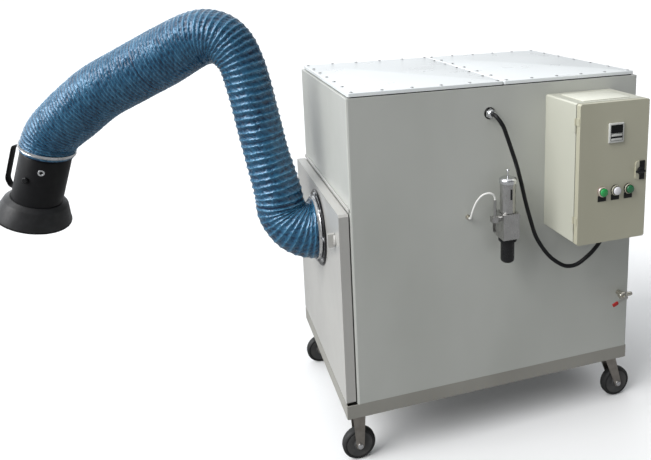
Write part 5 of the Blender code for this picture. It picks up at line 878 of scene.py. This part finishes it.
def ring_places(runs):
    """Middle and direction of a ring at each length, the first two and last two on a straight line."""
    middles = [hose_at(run) for run in runs]
    first = hose_heading(runs[0])
    last = hose_heading(runs[-1])
    middles[1] = middles[0] + first * (runs[1] - runs[0])
    middles[-2] = middles[-1] - last * (runs[-1] - runs[-2])
    places = []
    for k, middle in enumerate(middles):
        along = (middles[min(k + 1, len(runs) - 1)] - middles[max(k - 1, 0)]).normalized()
        if k < 2:
            along = first
        if k > len(runs) - 3:
            along = last
        places.append((middle, along))
    return places


def ring(middle, along, radius_at):
    """The points of one ring, and how far each is sunk below the crests."""
    side = along.cross(ARM_SIDE).normalized()
    up = along.cross(side)
    row = []
    depths = []
    for i in range(HOSE_SIDES):
        a = math.tau * i / HOSE_SIDES
        radius, shift, sunk = radius_at(a)
        row.append(middle + (side * math.cos(a) + up * math.sin(a)) * radius + along * shift)
        depths.append(sunk)
    return row, depths


def on_cylinder(a, radius, height):
    """A place to read the noise at, so that it closes round the hose."""
    return Vector((math.cos(a) * radius, math.sin(a) * radius, height))


def fold_radius(outer, depth, valley, run, smooth):
    """How the cloth lies between two turns of the coil: sunk, creased and never quite even."""

    def at(a):
        if smooth:
            return outer - depth * valley, 0.0, valley
        spot = on_cylinder(a + run * HOSE_SLANT, HOSE_CREASES_ROUND, run * HOSE_CREASES_ALONG)
        broad = on_cylinder(a, HOSE_SWELLS_ROUND, run * HOSE_SWELLS_ALONG)
        crease = max(0.0, 1.0 - abs(noise.noise(spot)) * HOSE_CREASE_THINNESS)
        crease *= HOSE_CREST_CREASES + (1 - HOSE_CREST_CREASES) * valley
        fold = valley * (1.0 + HOSE_SWELL_SHARE * noise.noise(broad))
        radius = outer - depth * fold - HOSE_WRINKLE * crease
        shift = HOSE_WAVER * noise.noise(broad * HOSE_WAVER_SCALE)
        # The third number sets the painted shade in the folds and the painted highlight on the crests
        return radius, shift, HOSE_FOLD_SHARE * fold + (1 - HOSE_FOLD_SHARE) * crease

    return at


def plain_radius(radius):
    # The bore takes the full painted shade
    return lambda a: (radius, 0.0, 1.0)


def hose_splits(stations):
    """The valleys nearest to the arm's joints, where one section of the hose ends."""
    splits = [0]
    for share in HOSE_SPLITS:
        splits.append(2 * round(int(np.searchsorted(stations, share * HOSE_LENGTH)) / 2))
    splits.append(len(stations) - 1)
    return splits


def cloth_rings(runs, places):
    """The rings of a section's outside, from valley to crest to valley."""
    rings = []
    for k in range(len(runs) - 1):
        steps = HOSE_STEPS + (1 if k == len(runs) - 2 else 0)
        for step in range(steps):
            t = step / HOSE_STEPS
            run = float(runs[k] + (runs[k + 1] - runs[k]) * t)
            middle = places[k][0].lerp(places[k + 1][0], t)
            along = places[k][1].lerp(places[k + 1][1], t).normalized()
            phase = (k % 2 + t) * math.pi / 2
            valley = abs(math.cos(phase)) ** HOSE_RIB_SHARPNESS
            outer = table(HOSE_RADII, run / HOSE_LENGTH) - HOSE_EASE
            depth = float(runs[k + 1] - runs[k]) * HOSE_RIB_SHARE
            smooth = min(run - runs[0], runs[-1] - run) < HOSE_PLAIN_END
            rings.append(ring(middle, along, fold_radius(outer, depth, valley, run, smooth)))
    return rings


def bore_rings(runs):
    """The rings of a section's smooth inside."""
    count = max(4, round((runs[-1] - runs[0]) / HOSE_BORE_STEP) + 1)
    bore_runs = np.linspace(runs[0], runs[-1], count)
    rings = []
    for (middle, along), run in zip(ring_places(bore_runs), bore_runs):
        r = table(HOSE_RADII, run / HOSE_LENGTH) - HOSE_WALL
        rings.append(ring(middle, along, plain_radius(r)))
    return rings


def make_hose():
    """The hose in four sections, which end at the valleys nearest to the arm's joints."""
    stations = rib_stations()
    splits = hose_splits(stations)
    parts = (
        ("hose_inlet_bend", "inlet_door", "knuckle"),
        ("hose_shoulder", "knuckle", "lower_arm"),
        ("hose_elbow", "lower_arm", "fore_arm"),
        ("hose_forearm", "fore_arm", "hood"),
    )
    for (node, body, next_body), a, b in zip(parts, splits, splits[1:]):
        runs = stations[a : b + 1]
        places = ring_places(runs)
        first = places[0][1]
        last = places[-1][1]
        sunk = []
        layers = []
        for rings in (cloth_rings(runs, places), bore_rings(runs)):
            rows = [row for row, _ in rings]
            sunk += [depths for _, depths in rings]
            rows[0] = [p + first * HOSE_SEAM for p in rows[0]]
            rows[-1] = [p - last * HOSE_SEAM for p in rows[-1]]
            layers.append(rows)
        outside, bore = layers
        bm = bmesh.new()
        skin(bm, outside + bore[::-1], True, sunk)
        obj = make_piece(
            node + "_cloth", bm, hose_blue, "hose_blue", None, node, smooth=HOSE_SHADE_ANGLE
        )
        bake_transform(obj)


make_hose()

# Inlet on the door


def rounded(points, radius, steps=4):
    """An outline of radius and height with its inner corners rounded."""
    out = [points[0]]
    for a, b, c in zip(points, points[1:], points[2:]):
        a, b, c = Vector(a), Vector(b), Vector(c)
        r = min(radius, (a - b).length * ROUND_SHARE, (c - b).length * ROUND_SHARE)
        start = b + (a - b).normalized() * r
        end = b + (c - b).normalized() * r
        for i in range(steps + 1):
            t = i / steps
            p = start * (1 - t) ** 2 + b * (2 * t * (1 - t)) + end * t**2
            out.append((p.x, p.y))
    out.append(points[-1])
    return out


def raised(profile, by):
    """The same profile, further along local Z."""
    return [(r, z + by) for r, z in profile]


def arc(middle, height, wide, tall, start, end, steps):
    """Points of radius and height on part of an ellipse, between two angles in degrees."""
    angles = [math.radians(start + (end - start) * i / steps) for i in range(steps + 1)]
    return [(middle + wide * math.cos(a), height + tall * math.sin(a)) for a in angles]


def clamp_band(name, low, high, radii, at, body, node):
    """A strap round a pipe, thicker at its two hems."""
    inner, outer = radii
    hollow = outer - BAND_HOLLOW
    strip = [
        (inner, low), (outer, low), (outer, low + BAND_HEM), (hollow, low + BAND_RISE),
        (hollow, high - BAND_RISE), (outer, high - BAND_HEM), (outer, high), (inner, high),
    ]
    one_turned(name, strip, at, bright, "zinc_steel", body, node, steps=96)


def make_inlet():
    """The pipe end with its bolted ring, and the strap that holds the hose on it."""
    at = facing(INLET_AT, (-1, 0, 0))
    low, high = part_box("inlet_flange")
    reach = DOOR_FACE_X - low.x - SPIGOT_SHORT
    back = DOOR_FACE_X - high.x
    body = [
        (INLET_BORE_R, back), (INLET_BORE_R, reach), (SPIGOT_R, reach), (SPIGOT_R, SPIGOT_FOOT),
        (RING_SHOULDER_R, RING_T), (RING_FACE_R, RING_T), (RING_R, RING_EDGE_T), (RING_R, CLEAR),
        (INLET_RING_BORE_R, CLEAR), (INLET_RING_BORE_R, back),
    ]
    one_turned(
        "inlet_ring", body, at, gloss_black, "black_paint", "inlet_door", "inlet_flange", steps=96
    )
    bolts = bmesh.new()
    for i in range(RING_BOLTS):
        a = math.tau * i / RING_BOLTS
        spot = (RING_BOLTS_R * math.cos(a), RING_BOLTS_R * math.sin(a), RING_T)
        place = at @ Matrix.Translation(spot)
        add_prism(bolts, 6, *RING_BOLT, place, RING_BOLT_BEVEL)
        add_turned(bolts, WASHER, place, 24)
    make_piece("inlet_bolts", bolts, bright, "zinc_steel", "inlet_door")
    low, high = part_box("inlet_clamp")
    start = DOOR_FACE_X - high.x
    end = DOOR_FACE_X - low.x
    clamp_band("inlet_band", start, end, INLET_BAND_R, at, "inlet_door", "inlet_clamp")


make_inlet()

# Hood


def hood_frame():
    y = ARM_SIDE
    x = y.cross(HOOD_AXIS)
    return Matrix.Translation(HOOD_AT) @ Matrix((x, y, HOOD_AXIS)).transposed().to_4x4()


def strap_rows(path, width, thick):
    """Rings of a flat strip with soft edges along a path in local X and Z, wide in local Y."""
    rows = []
    half = width / 2
    soft = thick / 2
    section = []
    for cx, sign in ((half - soft, 1), (-half + soft, -1)):
        for i in range(STRAP_STEPS + 1):
            a = -math.pi / 2 + math.pi * i / STRAP_STEPS
            section.append((cx + sign * soft * math.cos(a), sign * soft * math.sin(a)))
    for k, (x, z) in enumerate(path):
        before = Vector(path[max(k - 1, 0)])
        after = Vector(path[min(k + 1, len(path) - 1)])
        along = (after - before).normalized()
        out = Vector((along.y, -along.x))
        rows.append([Vector((x + out.x * t, w, z + out.y * t)) for w, t in section])
    return rows


def make_neck(at):
    inner = NECK_R - NECK_WALL
    top_inner = NECK_TOP_R - NECK_WALL
    neck = [
        (top_inner, -NECK_TOP_LEN), (NECK_TOP_R, -NECK_TOP_LEN), (NECK_TOP_R, CLEAR),
        (NECK_R - NECK_EDGE, NECK_EDGE_LOW), (NECK_R, NECK_EDGE_HIGH), (NECK_R, NECK_LEN),
        (inner, NECK_LEN), (inner, NECK_SHOULDER + NECK_WALL), (top_inner, NECK_WALL),
    ]
    one_turned("hood_neck_tube", neck, at, satin_black, "black_paint", "hood", "hood_neck", steps=96)


def make_flare(at):
    """The cone that is pushed over the neck, and the bead on its mouth."""
    foot = NECK_LEN - FLARE_SOCKET
    mouth = NECK_LEN + FLARE_LEN
    fit = NECK_R + CLEAR
    edge = mouth - RIM_H
    slope = (FLARE_MOUTH_R - FLARE_TOP_R) / (FLARE_LEN - 2 * FLARE_SOFT)
    flare = [
        (fit, foot), (FLARE_COLLAR_R, foot),
        (FLARE_COLLAR_R + FLARE_COLLAR_EDGE, foot + FLARE_COLLAR_EDGE),
        (FLARE_TOP_R - FLARE_SOFT, NECK_LEN - FLARE_COLLAR_EDGE),
        (FLARE_TOP_R, NECK_LEN + FLARE_SOFT / 2),
        (FLARE_MOUTH_R - slope * RIM_W, edge), (FLARE_MOUTH_R - NECK_WALL, edge),
        (FLARE_TOP_R - NECK_WALL, NECK_LEN + FLARE_SOFT), (fit, foot + FLARE_LIP),
    ]
    # The cone takes the lighter copy of the black paint: painted light
    one_turned("hood_flare_cone", flare, at, flare_black_painted_light, "black_paint", "hood", "hood_flare", steps=120)
    rim = rounded([(FLARE_MOUTH_R + r, mouth + z) for r, z in RIM_SHAPE], RIM_ROUND)
    one_turned("hood_rim_bead", rim, at, dull_black, "black_paint", "hood", steps=120)


def make_hood_handle(at):
    strap = bmesh.new()
    skin(strap, strap_rows(rounded(GRIP_PATH, GRIP_BEND, 6), GRIP_W, GRIP_T), False)
    bmesh.ops.holes_fill(strap, edges=[e for e in strap.edges if e.is_boundary])
    bmesh.ops.transform(strap, matrix=at, verts=strap.verts[:])
    make_piece("hood_handle_strap", strap, dull_black, "black_paint", "hood", "hood_handle")


def make_hood_fittings(at):
    """The eyelet in the neck's wall and the two caps on the tilt joint's pins."""
    face = NECK_R + CLEAR
    out = (math.cos(EYELET_TURN), math.sin(EYELET_TURN), 0)
    eye = at @ Matrix.Translation((0, 0, EYELET_DROP)) @ facing((0, 0, 0), out)
    edge = rounded(raised(EYELET_RING, face), EYELET_ROUND)
    one_turned("hood_eyelet_ring", edge, eye, bright, "zinc_steel", "hood", steps=48)
    # A black disc in the eyelet's ring stands for the hole: painted shade
    hole_shade = raised(EYELET_HOLE_SHADE, face)
    one_turned("hood_eyelet_hole_shade", hole_shade, eye, dull_black, "black_paint", "hood", steps=36)
    caps = bmesh.new()
    for sign in (1, -1):
        pivot = at @ Matrix.Translation((0, 0, PIVOT_DROP)) @ facing((0, 0, 0), (0, sign, 0))
        add_turned(caps, raised(PIVOT_CAP, face), pivot, 36)
    make_piece("hood_pivot_caps", caps, satin_black, "black_paint", "hood")


hood_place = hood_frame()
make_neck(hood_place)
make_flare(hood_place)
make_hood_handle(hood_place)
clamp_band("hood_band", HOOD_BAND_LOW, HOOD_BAND_HIGH, HOOD_BAND_R, hood_place, "hood", "hood_clamp")
make_hood_fittings(hood_place)

# Lids and the strip over the door


def make_lid(side, x0, x1):
    """A flat lid with rounded corners, and the screws round its edge."""
    bm = bmesh.new()
    y0 = FRONT + LID_INSET
    made = bmesh.ops.create_cube(bm, size=1.0)
    place = Matrix.Translation(((x0 + x1) / 2, 0, (LID_LOW + LID_HIGH) / 2))
    size = Matrix.Diagonal((x1 - x0, -2 * y0, LID_HIGH - LID_LOW, 1))
    bmesh.ops.transform(bm, matrix=place @ size, verts=made["verts"])
    upright = [e for e in bm.edges if abs((e.verts[0].co - e.verts[1].co).z) > TOUCH]
    soften(bm, upright, LID_CORNER, 6)
    level = [e for e in bm.edges if all(v.co.z > LID_HIGH - TOUCH for v in e.verts)]
    soften(bm, level, LID_EDGE, 4)
    make_piece("lid_" + side + "_plate", bm, lid_paint, "lid_paint", "cabinet", "lid_" + side)
    screws = bmesh.new()
    xs = np.linspace(x0 + SCREW_INSET, x1 - SCREW_INSET, SCREW_COLUMNS)
    ys = np.linspace(y0 + SCREW_INSET, -y0 - SCREW_INSET, SCREW_ROWS)
    spots = [(x, y) for x in xs for y in (ys[0], ys[-1])]
    spots += [(x, y) for y in ys[1:-1] for x in (xs[0], xs[-1])]
    for x, y in spots:
        add_turned(screws, SCREW_HEAD, Matrix.Translation((x, y, LID_HIGH)), 20)
    make_piece("lid_" + side + "_screws", screws, screw_steel, "zinc_steel", "cabinet")


make_lid("left", LEFT + LID_INSET, LID_SEAM_X - LID_SEAM_GAP / 2)
make_lid("right", LID_SEAM_X + LID_SEAM_GAP / 2, RIGHT - LID_INSET)
one_box("door_head_strip", STRIP_LOW, STRIP_HIGH, STRIP_EDGE, door_paint, "door_paint", "cabinet")

# Control box


def on_box(x, z):
    """Local Z runs out of the box's door."""
    return facing((x, BOX_FACE_Y, z), (0, -1, 0))


def plate(name, x, z, size, bevel, lift, mat, *nodes):
    """A plate that lies on the box's door, lifted from it."""
    w, h, t = size
    low = (-w / 2, -h / 2, lift)
    high = (w / 2, h / 2, lift + t)
    at = on_box(x, z)
    one_box(name, low, high, bevel, mat, "black_plastic", "control_door", *nodes, matrix=at)


def make_meter():
    x, z = METER_AT
    lower = z - RECESS_DROP
    plate("meter_frame", x, z, METER_SIZE, METER_EDGE, 0.0, meter_pale, "meter")
    plate("meter_display", x, z + DISPLAY_RISE, DISPLAY_SIZE, DISPLAY_EDGE, METER_FACE, display)
    plate("meter_recess", x, lower, RECESS_SIZE, RECESS_EDGE, METER_FACE, dull_black)
    bars = bmesh.new()
    w, h = BAR_HALF
    for middle in (BAR_OFFSET, -BAR_OFFSET):
        low = (-w, middle - h, BAR_LOW)
        add_box(bars, low, (w, middle + h, BAR_HIGH), BAR_EDGE, 3, on_box(x, lower))
    make_piece("meter_bars", bars, meter_pale, "black_plastic", "control_door")


def make_buttons():
    """Three pushbuttons with their bezels, and a plate under each."""
    rings = (("left", rose_chrome), ("middle", gloss_black), ("right", gloss_black))
    bezel = rounded(BEZEL, BEZEL_ROUND)
    for (side, mat), x in zip(rings, BUTTONS_X):
        at = on_box(x, BUTTONS_Z)
        one_turned("bezel_" + side, bezel, at, mat, "black_plastic", "control_door", steps=64)
    caps = (
        ("button_green_left", "green_left_button", green, "button_green"),
        ("button_white", "white_button", white_button, "button_white"),
        ("button_green_right", "green_right_button", dark_green, "button_green_dark"),
    )
    cap = [(0, BUTTON_FOOT), (BUTTON_R, BUTTON_FOOT), (BUTTON_R, CAP_FOOT), (CAP_WIDE, CAP_FOOT)]
    cap += arc(0, CAP_FOOT + CAP_SIDE, CAP_WIDE, CAP_DOME, 0, 90, 6)
    cap[-1] = (0, cap[-1][1])
    legends = bmesh.new()
    w, h, t = LEGEND_SIZE
    for (node, body, mat, slot), x in zip(caps, BUTTONS_X):
        one_turned(node + "_cap", cap, on_box(x, BUTTONS_Z), mat, slot, body, node, steps=56)
        at = on_box(x, BUTTONS_Z - LEGEND_DROP)
        add_box(legends, (-w / 2, -h / 2, TOUCH), (w / 2, h / 2, t), LEGEND_EDGE, 2, at)
    make_piece("legend_plates", legends, dull_black, "black_plastic", "control_door")


def make_lock():
    x, z = LOCK_AT
    plate("lock_plate_cover", LOCK_COVER_X, z, LOCK_SIZE, LOCK_COVER_EDGE, 0.0, dull_black)
    lock = bmesh.new()
    at = on_box(x, z)
    add_turned(lock, LOCK_STEM, at, 48)
    add_box(lock, *LOCK_WING, 4, at)
    add_box(lock, *LOCK_GRIP, 4, at)
    make_piece("lock_knob_wing", lock, gloss_black, "black_plastic", "lock", "lock_knob")


def make_box_top():
    (x0, y0), (x1, y1) = BOX_TOP_PLATE
    low = (x0, y0, BOX_TOP_Z + TOUCH)
    high = (x1, y1, BOX_TOP_Z + BOX_TOP_PLATE_T)
    # The top plate takes the lighter copy of the cream paint: painted light from above
    one_box("box_top_plate", low, high, BOX_TOP_PLATE_EDGE, cream_painted_light, "cream_paint", "cabinet")


make_meter()
make_buttons()
make_lock()
make_box_top()

# Gland, filter, tube fitting and valve


def make_gland():
    at = facing(GLAND_AT, (0, -1, 0))
    one_turned("gland_ring", GLAND_RING, at, dull_black, "black_plastic", "cabinet", steps=64)
    nut = bmesh.new()
    add_prism(nut, 6, *GLAND_NUT, at, GLAND_NUT_BEVEL)
    add_turned(nut, GLAND_DOME, at, 56)
    make_piece("gland_nut", nut, bright, "zinc_steel", "cabinet", "cable_gland")


def make_filter():
    """The bonnet with its cap, window and adjusting knob, and the bowl with its collar."""
    at = Matrix.Translation(FILTER_AT)
    top = BONNET_FOOT + BONNET_H
    bonnet = raised(BONNET, BONNET_FOOT)
    one_turned("filter_bonnet_tube", bonnet, at, alloy, "alloy", "cabinet", "filter_bonnet", steps=72)
    cap = rounded(raised(FILTER_CAP, top), FILTER_CAP_ROUND)
    one_turned("filter_cap", cap, at, bright, "alloy", "cabinet", steps=72)
    one_box("filter_window", *WINDOW, gloss_black, "black_plastic", "cabinet")
    knob = raised([*STEM, *arc(*KNOB_ARC)], top)
    knob[-1] = (0, knob[-1][1])
    one_turned(
        "adjusting_knob", knob, at, bright, "zinc_steel", "adjusting_screw",
        "filter_adjusting_screw", steps=40,
    )
    collar = rounded(raised(COLLAR, BOWL_TOP), COLLAR_ROUND)
    one_turned("filter_collar", collar, at, satin_black, "black_paint", "cabinet", steps=72)
    bowl = raised([(0, BOWL_FOOT), *arc(*BOWL_ARC)[1:], *BOWL_LIP], BOWL_TOP)
    one_turned(
        "filter_bowl_cup", bowl, at, gloss_black, "black_paint", "cabinet", "filter_bowl", steps=72
    )


def make_tube_fitting():
    at = facing(FITTING_AT, (0, -1, 0))
    nut = bmesh.new()
    add_prism(nut, 6, *FITTING_NUT, at, FITTING_NUT_BEVEL)
    add_turned(nut, FITTING_BARREL, at, 32)
    make_piece("tube_fitting_nut", nut, nickel, "nickel_brass", "cabinet", "tube_fitting")


def make_valve():
    """The valve's casting with its stem and pipe, and the lever with its red grip."""
    out = facing(VALVE_AT, (0, -1, 0))
    body = bmesh.new()
    add_turned(body, rounded(VALVE_BARREL, VALVE_ROUND), facing(VALVE_AT, (1, 0, 0)), 48)
    add_turned(body, VALVE_STEM, out, 24)
    add_turned(body, VALVE_PIPE, facing(VALVE_AT, (0, 1, 0)), 40)
    make_piece("valve_casting", body, nickel, "nickel_brass", "cabinet", "valve_body")
    lever = bmesh.new()
    level = out @ Matrix.Translation((0, 0, LEVER_RISE))
    add_turned(lever, rounded(LEVER_HUB, LEVER_HUB_ROUND), level, 40)
    bar = level @ Matrix.Rotation(LEVER_DROP, 4, "Z")
    add_box(lever, *LEVER_BAR, 2, bar)
    make_piece("lever_bar", lever, zinc, "zinc_steel", "supply_lever", "valve_lever")
    grip = bmesh.new()
    add_box(grip, *LEVER_GRIP, 4, bar)
    make_piece("lever_grip", grip, grip_red, "zinc_steel", "supply_lever")


make_gland()
make_filter()
make_tube_fitting()
make_valve()

# Casters


def make_casters():
    """Each wheel's tyre and hub."""
    for body, x, y, node in WHEELS:
        at = facing((x, y, WHEEL_Z), (0, -1, 0))
        tyre = rounded(TYRE, TYRE_ROUND)
        one_turned(body + "_tyre", tyre, at, tyre_rubber, "caster_rubber", body, node, steps=96)
        hub = rounded(HUB, HUB_ROUND)
        one_turned(body + "_hub", hub, at, hub_grey, "caster_rubber", body, steps=80)


def make_axle_caps():
    """A domed cap on both ends of each axle."""
    for name, body, x, y in AXLE_ENDS:
        bm = bmesh.new()
        for sign in (-1, 1):
            at = facing((x, y, WHEEL_Z), (0, sign, 0))
            add_turned(bm, raised(AXLE_CAP, FORK_OUT), at, 40)
        make_piece(name + "_axle_caps", bm, bright, "zinc_steel", body)


make_casters()
make_axle_caps()
dress_cad()
